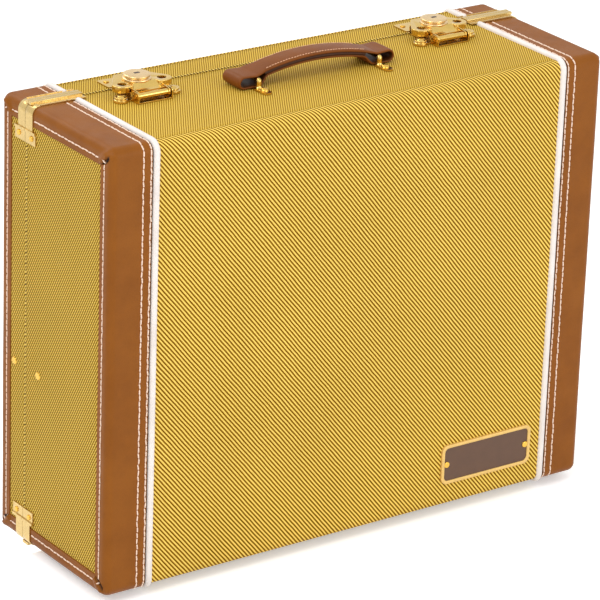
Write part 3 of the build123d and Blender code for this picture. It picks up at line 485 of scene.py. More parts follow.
def plain_material(name, tone, roughness, metallic=0.0):
    """Paint, enamel or steel with a fine grain."""
    n = Nodes(name)
    shade = n.mottle(90.0, 4.0, dim(tone, 0.88), tone)
    grain = n.bump(n.noise(2200.0, 2.0), 0.03 * MM, 0.5)
    n.set(Base_Color=shade, Roughness=roughness, Normal=grain, Metallic=metallic)
    return n.material


leather = leather_material("saddle_leather", srgb(142, 82, 18), srgb(128, 71, 12))
handle_leather = leather_material("handle_leather", srgb(130, 72, 22), srgb(116, 62, 18))
dark_edge = plain_material("leather_cut_edge", srgb(70, 36, 16), 0.7)
thread = thread_material("cream_thread", srgb(255, 226, 204))
handle_thread = thread_material("handle_thread", srgb(226, 178, 142))
piping_white = piping_material()
gold = brass_material("polished_brass", srgb(228, 192, 108), 0.12)
guard_gold = brass_material("guard_brass", srgb(216, 186, 122), 0.2)
knob_gold = brass_material("knob_brass", srgb(236, 204, 150), 0.22, 0.25)
gold_fasteners = brass_material("brass_rivets", srgb(232, 186, 84), 0.15)
# The key slot's colour is painted shade, for the depth of a keyhole.
keyhole_painted_shade = plain_material("keyhole", srgb(60, 40, 34), 0.5)
badge_gold = plain_material("badge_border", srgb(232, 192, 112), 0.38, 0.35)
badge_enamel = plain_material("badge_enamel", srgb(94, 64, 44), 0.5)
plush = plush_material()
tweed_front = tweed_material("tweed_front", 40, 2.86 * MM, 1.0, 0.0)
tweed_top_cloth = tweed_material("tweed_top", 148, 1.93 * MM, 0.62, 0.05, 0.9)
tweed_side = tweed_material("tweed_ends", 30, 2.42 * MM, 0.85, 0.16)
ply_pale = plain_material("seam_ply_pale", srgb(250, 218, 110), 0.6)
ply_dark = plain_material("seam_ply_dark", srgb(92, 66, 10), 0.7)

# ---- tweed
CLOTH_COLUMNS = 41


def set_weave(piece, uvs):
    """Stores the cloth's own metres as a UV map, one pair per vertex."""
    layer = piece.data.uv_layers.new(name="weave")
    indices = np.zeros(len(piece.data.loops), np.int32)
    piece.data.loops.foreach_get("vertex_index", indices)
    layer.data.foreach_set("uv", np.asarray(uvs, np.float32)[indices].ravel())


def cloth_wrap(name, way, part, inset, body, material):
    """Cloth between the two pipings over one part of a shell: its face, its top or its bottom."""
    stations, radius = shell_path(way, inset, 14 * MM, 7 * MM)
    lower = max(s.length for s in stations if s.kind == "straight" and s.normal == (0, -1))
    upper = min(s.length for s in stations if s.kind == "straight" and s.normal == (0, 1))
    spans = {"face": (lower, upper), "top": (upper, stations[-1].length), "bottom": (0.0, lower)}
    first, last = spans[part]
    kept = [s for s in stations if first - 1e-7 <= s.length <= last + 1e-7]
    half = piping_x - PIPING_RADIUS * 0.4
    xs = np.linspace(-half, half, CLOTH_COLUMNS)
    turned = (CLOTH_RIM, CLOTH_RIM * 0.3, 0.0)
    rows = []
    uvs = []
    for k, station in enumerate(kept):
        rings = [(0.0, 0.0)]
        if k == 0:
            rings = [(depth, -depth) for depth in turned]
        if k == len(kept) - 1:
            rings = [(depth, depth) for depth in turned[::-1]]
        for depth, shift in rings:
            y, z = station_point(station, radius, depth)
            rows.append([(x, y, z) for x in xs])
            v = station.length + shift if part == "face" else y
            uvs += [(x, v) for x in xs]
    faces = grid_faces(len(rows), len(xs))
    if way > 0:
        faces = [f[::-1] for f in faces]
    piece = add_piece(name, np.array(rows).reshape(-1, 3), faces, body, material)
    set_weave(piece, uvs)
    return piece


def make_tweed():
    """Cloth on the face, the top and the bottom of both shells."""
    for way, body, prefix in SHELLS:
        face = cloth_wrap(f"{prefix}_cloth_face", way, "face", tweed_step, body, tweed_front)
        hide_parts(f"{prefix}_tweed_cover")
        for part in ("top", "bottom"):
            inset = tweed_step + CLOTH_LAP_STEP
            cloth_wrap(f"{prefix}_cloth_{part}", way, part, inset, body, tweed_top_cloth)


# ---- leather
PLEAT_HEIGHT = 1.7 * MM
SLIT_DEPTH = 1.3 * MM
CHANNEL_DEPTH = 0.28 * MM
CHANNEL_WIDTH = 0.9 * MM
CUT_EDGE_DEPTH = 1.1 * MM
# Painted shade in the groove beside the piping, as a share of FOLD_SHADE for each of the first columns.
GROOVE_SHADE = (0.9, 0.9, 0.8, 0.45)  # of the columns next to the piping
WELD_REACH = 0.004 * MM


def cap_columns():
    """(reach along X, depth, turn) across a leather cap: from the groove beside the piping, over the end
    edge's rounding and down the border. Turn is 0 on the band and a right angle on the end face."""
    start = piping_x + PIPING_RADIUS + PIPING_GROOVE
    flat_end = half_length - END_EDGE_RADIUS
    columns = [(start, 1.2 * MM, 0.0), (start, 0.45 * MM, 0.0), (start + 0.12 * MM, 0.12 * MM, 0.0)]
    dense_end = piping_x + STITCH_ROWS[1] + 3 * MM
    columns += [(x, 0.0, 0.0) for x in np.arange(start + 0.45 * MM, dense_end, 0.7 * MM)]
    columns += [(x, 0.0, 0.0) for x in np.linspace(dense_end, flat_end, 12)[:-1]]
    for a in np.linspace(0, QUARTER, 9):
        columns.append((flat_end + END_EDGE_RADIUS * math.sin(a), END_EDGE_RADIUS * (1 - math.cos(a)), a))
    last = LEATHER_BORDER - 0.4 * MM
    columns += [(half_length, d, QUARTER) for d in np.arange(END_EDGE_RADIUS + 0.5 * MM, last, 0.5 * MM)]
    columns += [
        (half_length, last, QUARTER),
        (half_length - 0.12 * MM, LEATHER_BORDER - 0.12 * MM, QUARTER),
        (half_length - 0.45 * MM, LEATHER_BORDER, QUARTER),
        (half_length - 1.2 * MM, LEATHER_BORDER, QUARTER),
    ]
    return columns


def corner_fold(y, z, way):
    """Height of the folded corners, and the painted shade in their slits, at points of the end face."""
    height = np.zeros_like(y)
    dark = np.zeros_like(y)
    for up in (-1, 1):
        centre_y, centre_z = corner_centre(way, up)
        a = ((y - centre_y) * way + (z - centre_z) * up) / math.sqrt(2) / MM  # outwards on the mitre
        b = ((y - centre_y) * way - (z - centre_z) * up) / math.sqrt(2) / MM  # across it
        inside = smooth(a, -11.5, -8.0) * (1 - smooth(a, 3.5, 7.0))
        ridge = smooth(b, -8.0, -2.5) * (1 - smooth(b, -0.3, 0.5))
        height += PLEAT_HEIGHT * inside * ridge
        width = 0.2 + 1.25 * smooth(a, -9.5, -2.0) * (1 - smooth(a, 1.0, 5.0))
        slit = (1 - smooth(np.abs(b - 0.5 - width), width * 0.6, width + 0.35)) * smooth(a, -10.0, -8.5)
        slit = slit * (1 - smooth(a, 3.0, 5.5))
        height -= SLIT_DEPTH * slit
        # The slit is painted dark with shade, standing for the shadow inside the fold.
        dark = np.maximum(dark, slit)
    return height, dark


def corner_centre(way, up):
    """The (y, z) that a long edge's rounding turns about."""
    face = leather_low[1] if way < 0 else leather_high[1]
    level = leather_low[2] if up < 0 else leather_high[2]
    return face - way * LONG_EDGE_RADIUS, level - up * LONG_EDGE_RADIUS


def channel(offset):
    """Depth of the leather beside a stitch row."""
    return CHANNEL_DEPTH * np.exp(-((offset / CHANNEL_WIDTH) ** 2))


def make_cap(side, way, word, prefix, body):
    """The leather over one end of one shell, with its stitched channels and folded corners."""
    stations, radius = shell_path(way, 0.0, 4 * MM, 0.55 * MM, 15 * MM)
    columns = cap_columns()
    lengths = np.array([s.length for s in stations])
    cell = np.array([[station_point(s, radius, depth) for _, depth, _ in columns] for s in stations])
    y, z = cell[:, :, 0], cell[:, :, 1]
    x, depth, turn = (np.broadcast_to([c[k] for c in columns], y.shape) for k in range(3))
    normal_y, normal_z = (np.array([s.normal[k] for s in stations])[:, None] for k in (0, 1))
    lift = np.zeros_like(y)
    for row in STITCH_ROWS:
        lift -= channel(x - piping_x - row) * (turn < 0.01)
    lift -= channel(depth - BORDER_STITCH_DEPTH) * (turn > 1.5)
    waves = np.sin(lengths / (23 * MM)) * 0.06 * MM + np.sin(lengths / (61 * MM) + side) * 0.09 * MM
    lift += waves[:, None] * (x > piping_x + STITCH_ROWS[0])
    # dark holds painted shade: in the corner slits here, and below in the groove beside the piping.
    fold_height, dark = corner_fold(y, z, way)
    on_end = smooth(turn, 0.6, 1.4)
    lift += fold_height * on_end
    on_top = (depth < LEATHER_BORDER - 0.05 * MM) & (x > columns[2][0] - 1e-9)
    lift = lift * on_top
    dark = dark * on_end * on_top
    # Painted shade in the groove beside the piping.
    dark[:, :4] = np.maximum(dark[:, :4], GROOVE_SHADE)
    out = np.stack([side * np.sin(turn), normal_y * np.cos(turn), normal_z * np.cos(turn)], axis=2)
    points = np.stack([side * x, y, z], axis=2) + out * lift[:, :, None]
    first, last = (points[k : k + 1] - out[k : k + 1] * CUT_EDGE_DEPTH for k in (0, len(points) - 1))
    points = np.concatenate([first, points, last])
    dark = np.concatenate([dark[:1], dark, dark[-1:]])
    faces = grid_faces(points.shape[0], points.shape[1])
    if side * way < 0:
        faces = [f[::-1] for f in faces]
    piece = add_piece(f"{prefix}_cap_{word}", points.reshape(-1, 3), faces, body, leather)
    mark_painted_shade(piece, dark)
    weld_doubles(piece)
    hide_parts(f"{prefix}_leather_{word}")


def mark_painted_shade(piece, dark):
    """Stores how much painted shade each vertex of a leather piece gets."""
    attribute = piece.data.attributes.new("painted_shade", "FLOAT", "POINT")
    attribute.data.foreach_set("value", dark.ravel().astype(np.float32))


def weld_doubles(piece):
    """Joins the vertices that meet on a corner's mitre and drops the faces that close up there."""
    mesh = bmesh.new()
    mesh.from_mesh(piece.data)
    bmesh.ops.remove_doubles(mesh, verts=mesh.verts, dist=WELD_REACH)
    bmesh.ops.dissolve_degenerate(mesh, edges=mesh.edges, dist=WELD_REACH)
    mesh.to_mesh(piece.data)
    mesh.free()


# ---- stitches
SEAM_CLEAR = 13.0 * MM  # rows stop where the seam guards begin
CORNER_CLEAR = 3.5 * MM
THREAD_RADIUS = 0.62 * MM
THREAD_SINK = 0.18 * MM
CORNER_STITCH_LENGTH = 7.5 * MM
Stitch = namedtuple("Stitch", "length gap radius rise")
COVER_STITCH = Stitch(5.2 * MM, 0.1 * MM, THREAD_RADIUS, 0.1 * MM)
HANDLE_STITCH = Stitch(2.2 * MM, 0.7 * MM, 0.36 * MM, 0.12 * MM)


def stitch_shape(length, radius, rise, rings=7, sides=8):
    """One stitch as a grid in its own axes: along, across, up. Its ends dive into the leather."""
    along = np.linspace(-1, 1, rings)
    plump = radius * np.sqrt(np.clip(1.12 - along**8, 0, None))
    height = rise * (1 - along**4) - radius * 0.3 * along**8
    ring = np.linspace(0, TURN, sides, endpoint=False)
    grid = np.zeros((rings, sides, 3))
    grid[:, :, 0] = (along * length / 2)[:, None]
    grid[:, :, 1] = plump[:, None] * np.cos(ring)[None, :]
    grid[:, :, 2] = plump[:, None] * np.sin(ring)[None, :] + height[:, None]
    return grid


def lay_stitch(heap, shape, at, along, up):
    """Places a stitch at a point, along a direction, standing on a surface."""
    across = np.cross(up, along)
    across /= np.linalg.norm(across)
    heap.bar(at + shape[..., :1] * along + shape[..., 1:2] * across + shape[..., 2:] * up)


def run_of_stitches(heap, points, ups, kind):
    """Stitches end to end along a polyline, each a little out of line."""
    points = np.asarray(points)
    ups = np.asarray(ups)
    steps = np.linalg.norm(np.diff(points, axis=0), axis=1)
    total = np.concatenate([[0.0], np.cumsum(steps)])
    count = max(int(total[-1] / (kind.length + kind.gap)), 1)
    pitch = total[-1] / count
    shape = stitch_shape(pitch - kind.gap, kind.radius, kind.rise)

    def at(where, field):
        return np.array([np.interp(where, total, field[:, k]) for k in range(3)])

    for k in range(count):
        middle = (k + 0.5) * pitch
        up = at(middle, ups)
        up /= np.linalg.norm(up)
        along = at(middle + 0.3 * pitch, points) - at(middle - 0.3 * pitch, points)
        along /= np.linalg.norm(along)
        across = np.cross(up, along)
        slant = rng.gauss(0.10 if k % 2 else -0.07, 0.04)
        along = along + across * slant
        along /= np.linalg.norm(along)
        lay_stitch(heap, shape, at(middle, points) + across * rng.gauss(0, 0.14 * MM), along, up)


def band_line(way, side, reach):
    """The line of a stitch row round the band, with its outward directions."""
    stations, radius = shell_path(way, THREAD_SINK, 4 * MM, 4 * MM)
    full = stations[-1].length
    kept = [s for s in stations if SEAM_CLEAR < s.length < full - SEAM_CLEAR]
    points = [(side * reach, *station_point(s, radius, 0.0)) for s in kept]
    return points, [(0.0, *s.normal) for s in kept]


def border_lines(way, side):
    """The stitch lines on an end face, one for each leg of the border that has room for them."""
    x = side * (half_length - 0.2 * MM)
    low, high = leather_low[2] + BORDER_STITCH_DEPTH, leather_high[2] - BORDER_STITCH_DEPTH
    face = (leather_low[1] if way < 0 else leather_high[1]) - way * BORDER_STITCH_DEPTH
    near = seam + way * SEAM_CLEAR
    turn = face - way * CORNER_CLEAR
    legs = [((face, low + CORNER_CLEAR), (face, high - CORNER_CLEAR))]
    if (turn - near) * way > COVER_STITCH.length:
        legs = [((near, low), (turn, low)), *legs, ((turn, high), (near, high))]
    for start, end in legs:
        yield np.column_stack([np.full(12, x), np.linspace(start, end, 12)])


def make_stitches(side, way, word, prefix, body):
    """Both rows round the band, the row on the end face and the folded corners' single stitches."""
    heap = Heap()
    for row in STITCH_ROWS:
        points, ups = band_line(way, side, piping_x + row)
        run_of_stitches(heap, points, ups, COVER_STITCH)
    for line in border_lines(way, side):
        run_of_stitches(heap, line, [(side, 0.0, 0.0)] * len(line), COVER_STITCH)
    shape = stitch_shape(CORNER_STITCH_LENGTH, THREAD_RADIUS, 0.2 * MM)
    for up in (-1, 1):
        out = np.array([way, up]) / math.sqrt(2)
        across = np.array([way, -up]) / math.sqrt(2)
        spot = np.array(corner_centre(way, up)) - out * 3.2 * MM - across * 0.6 * MM
        lean = across + out * 0.25
        at = np.array([side * (half_length + 0.75 * MM), *spot])
        along = np.array([0.0, *(lean / np.linalg.norm(lean))])
        lay_stitch(heap, shape, at, along, np.array([side, 0.0, 0.0]))
    add_piece(f"{prefix}_stitches_{word}", heap.verts, heap.faces, body, thread)


# ---- piping
DOME_STEPS = (0.5, 0.8, 0.96)


def tube(heap, points, ups, radii, sides=18):
    """A round bar along a polyline, closed with domed ends."""
    points = np.asarray(points, float)
    ups = np.asarray(ups, float)
    tangents = np.gradient(points, axis=0)
    tangents /= np.linalg.norm(tangents, axis=1)[:, None]
    across = np.cross(ups, tangents)
    across /= np.linalg.norm(across, axis=1)[:, None]
    up = np.cross(tangents, across)
    ring = np.linspace(0, TURN, sides, endpoint=False)
    radii = np.broadcast_to(radii, len(points))
    rays = [np.cos(ring)[:, None] * a + np.sin(ring)[:, None] * u for a, u in zip(across, up)]
    rows = [p + r * d for p, r, d in zip(points, radii, rays)]
    domes = []
    for k, out in ((0, -tangents[0]), (-1, tangents[-1])):
        ends = [(out * t * 0.5, math.sqrt(1 - t * t)) for t in DOME_STEPS]
        domes.append([points[k] + radii[k] * (reach + share * rays[k]) for reach, share in ends])
    heap.bar(np.array(domes[0][::-1] + rows + domes[1]))


def make_piping():
    """A round bar at each end of each shell, a little uneven in thickness."""
    for way, body, prefix in SHELLS:
        low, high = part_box(f"{prefix}_piping")
        stop = (high[1] if way < 0 else low[1]) - way * 0.8 * MM
        stations, radius = shell_path(way, tweed_step + PIPING_SINK, 5 * MM, 5 * MM)
        heap = Heap()
        for side, _ in ENDS:
            points, ups = [], []
            for station in stations:
                y, z = station_point(station, radius, 0.0)
                if way * (y - stop) >= 0 or station.kind == "arc":
                    points.append((side * piping_x, y, z))
                    ups.append((0.0, *station.normal))
            tips = [(side * piping_x, stop, points[k][2]) for k in (0, -1)]
            points = [tips[0], *points, tips[1]]
            ups = [ups[0], *ups, ups[-1]]
            tube(heap, points, ups, [PIPING_RADIUS * (1 + rng.gauss(0, PIPING_UNEVEN)) for _ in points])
        piece = add_piece(f"{prefix}_white_piping", heap.verts, heap.faces, body, piping_white)
        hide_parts(f"{prefix}_piping")


# ---- tweed panels in the end faces
PANEL_CROWN = 0.25 * MM
PANEL_EDGE = 0.5 * MM


def make_end_panels():
    """Cloth panels that are let into the end faces, slightly crowned."""
    for _, body, prefix in SHELLS:
        low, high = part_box(f"{prefix}_tweed_ends")
        verts, faces, uvs = [], [], []
        ys = [low[1], *np.linspace(low[1] + 1 * MM, high[1] - 1 * MM, 14), high[1]]
        zs = [low[2], *np.linspace(low[2] + 1 * MM, high[2] - 1 * MM, 40), high[2]]
        for side, _ in ENDS:
            block = grid_faces(len(zs), len(ys), start=len(verts))
            faces += [f[::-1] for f in block] if side < 0 else block
            for i, z in enumerate(zs):
                crown = math.sin(math.pi * (z - low[2]) / (high[2] - low[2])) * PANEL_CROWN
                for j, y in enumerate(ys):
                    edge = i in (0, len(zs) - 1) or j in (0, len(ys) - 1)
                    verts.append((side * (tweed_end + (-PANEL_EDGE if edge else crown)), y, z))
                    uvs.append((y, z))
        piece = add_piece(f"{prefix}_cloth_ends", verts, faces, body, tweed_side)
        set_weave(piece, uvs)
        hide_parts(f"{prefix}_tweed_ends")


# ---- the cloth's folded edge along the seam
CORD_TURN = 3.2 * MM
CORD_RADIUS = 0.36 * MM
CORD_STEP = 0.5 * MM
CORD_FROM_SEAM = 1.05 * MM
PLIES = ((0, 0.5 * MM, ply_pale), (1, 0.425 * MM, ply_dark))


def make_seam_edge():
    """The rope-like edge where the front shell's cloth is folded at the seam: two twisted plies."""
    guard_low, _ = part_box("seam_guards_body_top")
    _, foot_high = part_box("seam_guards_body_bottom")
    inner = min(abs(v.co.x) for v in frame["nodes"]["seam_guards_body_top"].data.vertices)
    y = seam - CORD_FROM_SEAM
    level = tweed_top + 0.1 * MM
    lines = [((-inner, y, level), (inner, y, level), (0, 0, 1))]
    for side, _ in ENDS:
        x = side * (tweed_end + 0.1 * MM)
        lines.append(((x, y, foot_high[2]), (x, y, guard_low[2]), (side, 0, 0)))
    for ply, strand, material in PLIES:
        heap = Heap()
        for start, end, up in lines:
            start, end, up = np.array(start), np.array(end), np.array(up, float)
            run = np.linalg.norm(end - start)
            along = (end - start) / run
            across = np.cross(up, along)
            points = []
            for s in np.linspace(0, run, int(run / CORD_STEP) + 1):
                a = TURN * s / CORD_TURN + ply * math.pi
                points.append(start + along * s + CORD_RADIUS * (math.cos(a) * across + math.sin(a) * up))
            tube(heap, points, [up] * len(points), strand, sides=8)
        add_piece(f"seam_edge_ply_{ply + 1}", heap.verts, heap.faces, "case_body", material)


# ---- linings
PLUSH_THICKNESS = 1.5 * MM
PLUSH_CORNER = 5.0 * MM
PLUSH_PUFF = 1.6 * MM


def tray(name, node, way, body):
    """A plush tray: rounded inner corners, a rolled rim and a slightly puffed panel."""
    low, high = corners_of(node)
    mouth, panel = (high[1], low[1]) if way < 0 else (low[1], high[1])
    half_x, half_z = (high[0] - low[0]) / 2, (high[2] - low[2]) / 2
    middle = (high[2] + low[2]) / 2
    thick, corner = PLUSH_THICKNESS, PLUSH_CORNER

    def ring(inset, y, radius):
        rounded = rounded_rectangle(half_x - inset, half_z - inset, radius, 6)
        return [(x, y, middle + z) for x, z in fill_sides(rounded, 7, 30)]

    inner = panel - way * thick
    rows = [ring(0.02 * MM, inner, 1 * MM), ring(0.02 * MM, mouth + way * 0.4 * MM, 1 * MM)]
    rows += [ring(0.4 * MM, mouth, 2 * MM), ring(thick - 0.3 * MM, mouth + way * 0.2 * MM, 3 * MM)]
    rows += [ring(thick, y, corner) for y in np.linspace(mouth + way * 1.5 * MM, inner - way * corner, 6)]
    for a in np.linspace(0, QUARTER, 6)[1:]:
        inset = thick + corner * (1 - math.cos(a))
        rows.append(ring(inset, inner - way * corner * (1 - math.sin(a)), corner * 1.2))
    for t in (0.03, 0.08, 0.16, 0.3, 0.5, 0.7, 0.9):
        inset = thick + corner + t * (half_z - thick - corner)
        puff = PLUSH_PUFF * (1 - (1 - min(t * 2.2, 1.0)) ** 2)
        rows.append(ring(inset, inner - way * puff, corner * 1.2 * (1 - t) + 0.5 * MM))
    points = np.array(rows)
    heap = Heap()
    heap.grid(points, close_columns=True, flip=way > 0)
    heap.fan(points[-1], flip=way > 0)
    piece = add_piece(name, heap.verts, heap.faces, body, plush)
    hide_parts(node)


# ---- handle
HANDLE_TOP_LAYER = 2.9 * MM
HANDLE_LOWER_LAYER = 2.4 * MM
HANDLE_WIDTH = 22.0 * MM
HANDLE_CROWN = 0.55 * MM
LOOP_WIDTH = 26.4 * MM
LOOP_HEIGHT = 12.0 * MM
LOOP_LENGTH = 24.0 * MM
LOOP_WALL = 2.4 * MM
LOOP_CROWN = 0.25 * MM
LOOP_BEND = 0.62  # share of the way in from the loop's end at which its floor turns up
STRAP_JOIN = 53.0 * MM  # the layers part here and become the loop
STRAP_ROUNDING = 5.0
# Share of painted shade on the strap's inner face, which faces the case.
INSIDE_SHADE = 0.7
FILLER_THICKNESS = 3.0 * MM
FILLER_DEPTH = 1.2 * MM
FILLER_INSET = 0.8 * MM
STITCH_INSET = 1.7 * MM


def band(heap, path, outward, widths, thicknesses, crowns, closed, sides=24):
    """A strap along a path in the XZ plane, a rounded rectangle crowned on its outer face.

    Returns how far each vertex lies on the inner face, from 0 to 1."""
    ring = np.linspace(0, TURN, sides, endpoint=False) + 1e-3
    c, s = np.cos(ring), np.sin(ring)
    across = np.sign(c) * np.abs(c) ** (2 / STRAP_ROUNDING)
    height = np.sign(s) * np.abs(s) ** (2 / STRAP_ROUNDING)
    rows = []
    for p, n, w, t, crown in zip(path, outward, widths, thicknesses, crowns):
        lift = height * t / 2 + crown * (1 - across**2) * (height > 0) * height
        rows.append([(p[0] + n[0] * h, a * w / 2, p[1] + n[1] * h) for a, h in zip(across, lift)])
    heap.bar(np.array(rows), close_rows=closed)
    return np.tile(smooth(-height, 0.2, 0.9), len(rows))


class Arch:
    """The top line of the strap, a shallow arc between its loops."""

    def __init__(self, half_span, crown, shoulder):
        drop = crown - shoulder
        self.crown = crown
        self.radius = (half_span**2 + drop**2) / (2 * drop)

    def height(self, x):
        return self.crown - (self.radius - math.sqrt(self.radius**2 - x * x))

    def normal(self, x):
        slope = -x / math.sqrt(self.radius**2 - x * x)
        return np.array([-slope, 1.0]) / math.hypot(slope, 1.0)


def strap_path(arch, loop_in, loop_out, base):
    """(point, outward direction, thickness) round the strap, and how many of them are on its top.

    A direction of None is left to be found from its neighbours."""
    path = []
    radius = (LOOP_HEIGHT - LOOP_WALL) / 2
    join = STRAP_JOIN - 2 * MM
    under = HANDLE_TOP_LAYER + 0.5 * MM + HANDLE_LOWER_LAYER / 2 + 1.6 * MM

    def round_loop(side, angles):
        for a in angles:
            out = np.array([math.cos(a), math.sin(a)])
            path.append((np.array([side * loop_out, base + LOOP_HEIGHT / 2]) + out * radius, out, LOOP_WALL))

    def loop_floor(side, shares):
        for t in shares:
            x = loop_out + (join - loop_out) * t
            bend = smooth(t, LOOP_BEND, 1.0)
            z = (base + LOOP_WALL / 2) * (1 - bend) + (arch.height(x) - under) * bend
            path.append((np.array([side * x, z]), None, LOOP_WALL))

    for x in np.linspace(-loop_in, loop_in, 61):
        flare = smooth(abs(x), STRAP_JOIN - 4 * MM, loop_in)
        thick = HANDLE_TOP_LAYER + (LOOP_WALL - HANDLE_TOP_LAYER) * flare
        normal = arch.normal(x)
        path.append((np.array([x, arch.height(x)]) - normal * (thick / 2 + LOOP_CROWN), normal, thick))
    round_loop(1, np.linspace(QUARTER, -QUARTER, 17))
    top = len(path)
    loop_floor(1, np.linspace(0, 1, 12)[1:])
    for x in np.linspace(join, -join, 41)[1:]:
        path.append((np.array([x, arch.height(x) - under]), None, HANDLE_LOWER_LAYER))
    loop_floor(-1, np.linspace(1, 0, 12)[1:])
    round_loop(-1, np.linspace(-QUARTER, -3 * QUARTER, 17)[1:])
    return path, top


def make_strap(arch, loop_in, loop_out, base):
    """One leather strap, doubled: over the arch, round each loop and back along the underside."""
    path, top = strap_path(arch, loop_in, loop_out, base)
    points, outward, layers = (list(column) for column in zip(*path))
    for k, direction in enumerate(outward):
        if direction is None:
            t = points[(k + 1) % len(points)] - points[k - 1]
            outward[k] = np.array([-t[1], t[0]]) / np.linalg.norm(t)
    reach = np.array([abs(p[0]) for p in points])
    widths = HANDLE_WIDTH + (LOOP_WIDTH - HANDLE_WIDTH) * smooth(reach, 50 * MM, 62 * MM)
    on_top = np.arange(len(points)) < top
    crowns = LOOP_CROWN + HANDLE_CROWN * (1 - smooth(reach, 44 * MM, 60 * MM)) * on_top
    heap = Heap()
    inside = band(heap, points, outward, widths, layers, crowns, closed=True)
    strap = add_piece("handle_strap", heap.verts, heap.faces, "handle", handle_leather)
    # Painted shade on the strap's inner face.
    mark_painted_shade(strap, inside * INSIDE_SHADE)
    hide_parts("handle_grip", "handle_core")


def make_filler(arch):
    """The filling between the strap's two layers, seen as a dark line along its sides."""
    xs = np.linspace(-STRAP_JOIN, STRAP_JOIN, 41)
    path = [(x, arch.height(x) - HANDLE_TOP_LAYER - FILLER_DEPTH) for x in xs]
    count = len(xs)
    widths = [HANDLE_WIDTH - 2 * FILLER_INSET] * count
    heap = Heap()
    normals = [arch.normal(x) for x in xs]
    band(heap, path, normals, widths, [FILLER_THICKNESS] * count, [0.0] * count, closed=False)
    add_piece("handle_filler", heap.verts, heap.faces, "handle", dark_edge)


def make_strap_stitches(arch):
    heap = Heap()
    for side in (-1, 1):
        points, ups = [], []
        for x in np.linspace(-STRAP_JOIN + 1 * MM, STRAP_JOIN - 1 * MM, 60):
            n = arch.normal(x)
            y = side * (HANDLE_WIDTH / 2 - STITCH_INSET)
            points.append((x + n[0] * 0.02 * MM, y, arch.height(x) - 0.02 * MM))
            ups.append((n[0], 0.0, n[1]))
        run_of_stitches(heap, points, ups, HANDLE_STITCH)
    add_piece("handle_stitches", heap.verts, heap.faces, "handle", handle_thread)


def make_handle():
    low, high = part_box("handle_grip")
    base = low[2]
    loop_in = high[0] - LOOP_LENGTH + LOOP_HEIGHT / 2
    arch = Arch(loop_in, high[2], base + LOOP_HEIGHT - 0.4 * MM)
    make_strap(arch, loop_in, high[0] - LOOP_HEIGHT / 2, base)
    make_filler(arch)
    make_strap_stitches(arch)


# ---- knobs, ears, posts and the badge
# Turned shapes, as radius and height in millimetres.
KNOB_FOOT = ((12.6, 0.15), (12.6, 0.9), (12.3, 1.2), (10.7, 1.3), (10.5, 1.9))
KNOB_HEAD = ((11.3, 2.1), (11.8, 2.5), (11.8, 3.7), (11.5, 4.15), (10.9, 4.4), (9.6, 4.55), (5.0, 4.72))
KNOB_PROFILE = (*KNOB_FOOT, *KNOB_HEAD, (0.6, 4.76))
EAR_FOOT = ((6.3, 0.1), (6.3, 1.5), (5.9, 2.0), (4.9, 2.1), (4.9, 3.1))
EAR_HEAD = ((5.5, 3.3), (5.6, 4.0), (5.2, 4.5), (4.2, 4.4), (3.4, 4.0), (3.1, 4.2), (2.6, 5.0))
EAR_PROFILE = (*EAR_FOOT, *EAR_HEAD, (1.5, 5.5), (0.3, 5.65))
POST_SHAFT = ((3.2, 1.5), (3.2, 1.9), (2.5, 2.5), (2.3, 3.6), (2.45, 6.0), (2.3, 8.2))
POST_PROFILE = (*POST_SHAFT, (1.7, 9.5), (0.8, 10.1), (0.2, 10.2))
DOME_PROFILE = ((3.7, 1.5), (3.7, 1.9), (3.3, 2.7), (2.4, 3.4), (1.2, 3.8), (0.2, 3.9))
KEY_SLOT = ((4.5, 1.0), (4.84, 1.0), (4.86, 0.9))  # height in millimetres and share of its outline
KEY_HALF_LENGTH = 2.7 * MM
KEY_HALF_WIDTH = 1.5 * MM
EAR_REACH = 32.4 * MM  # ahead of the seam
POST_SPREAD = 15.8 * MM
RIVET_SPREAD = 24.6 * MM
RIVET_IN = 3.0 * MM  # of the brackets' outermost rivets' edge


def make_knob(side):
    """A lock knob with the slot of its key, a thin dark slab of painted shade on its top, both on the body
    that turns.
    """
    low, high = corners_of(f"latch_knob_{side}")
    x, y, _ = (low + high) / 2
    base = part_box(f"latch_lever_{side}")[1][2]
    heap = Heap()
    heap.lathe(KNOB_PROFILE, (x, y, base), 56)
    knob = add_piece(f"lock_knob_{side}", heap.verts, heap.faces, f"latch_knob_{side}", knob_gold)
    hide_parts(f"latch_knob_{side}")
    # The key slot: a thin dark slab on the knob's top, painted shade in place of a hole.
    rim = []
    for a in np.linspace(0, TURN, 24, endpoint=False):
        u, v = (math.copysign(abs(w) ** 0.35, w) for w in (math.cos(a), math.sin(a)))
        rim.append((u * KEY_HALF_LENGTH, v * KEY_HALF_WIDTH))
    rings = np.array([[(x + u * k, y + v * k, base + h * MM) for u, v in rim] for h, k in KEY_SLOT])
    slot = Heap()
    slot.grid(rings, close_columns=True)
    slot.fan(rings[-1])
    add_piece(f"keyhole_{side}", slot.verts, slot.faces, f"latch_knob_{side}", keyhole_painted_shade)


def make_ears(side):
    low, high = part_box(f"latch_base_{side}")
    reach = EAR_PROFILE[0][0] * MM
    heap = Heap()
    for x in (low[0] + reach, high[0] - reach):
        heap.lathe(EAR_PROFILE, (x, seam - EAR_REACH, tweed_top), 36)
    add_piece(f"latch_ears_{side}", heap.verts, heap.faces, "case_body", gold)


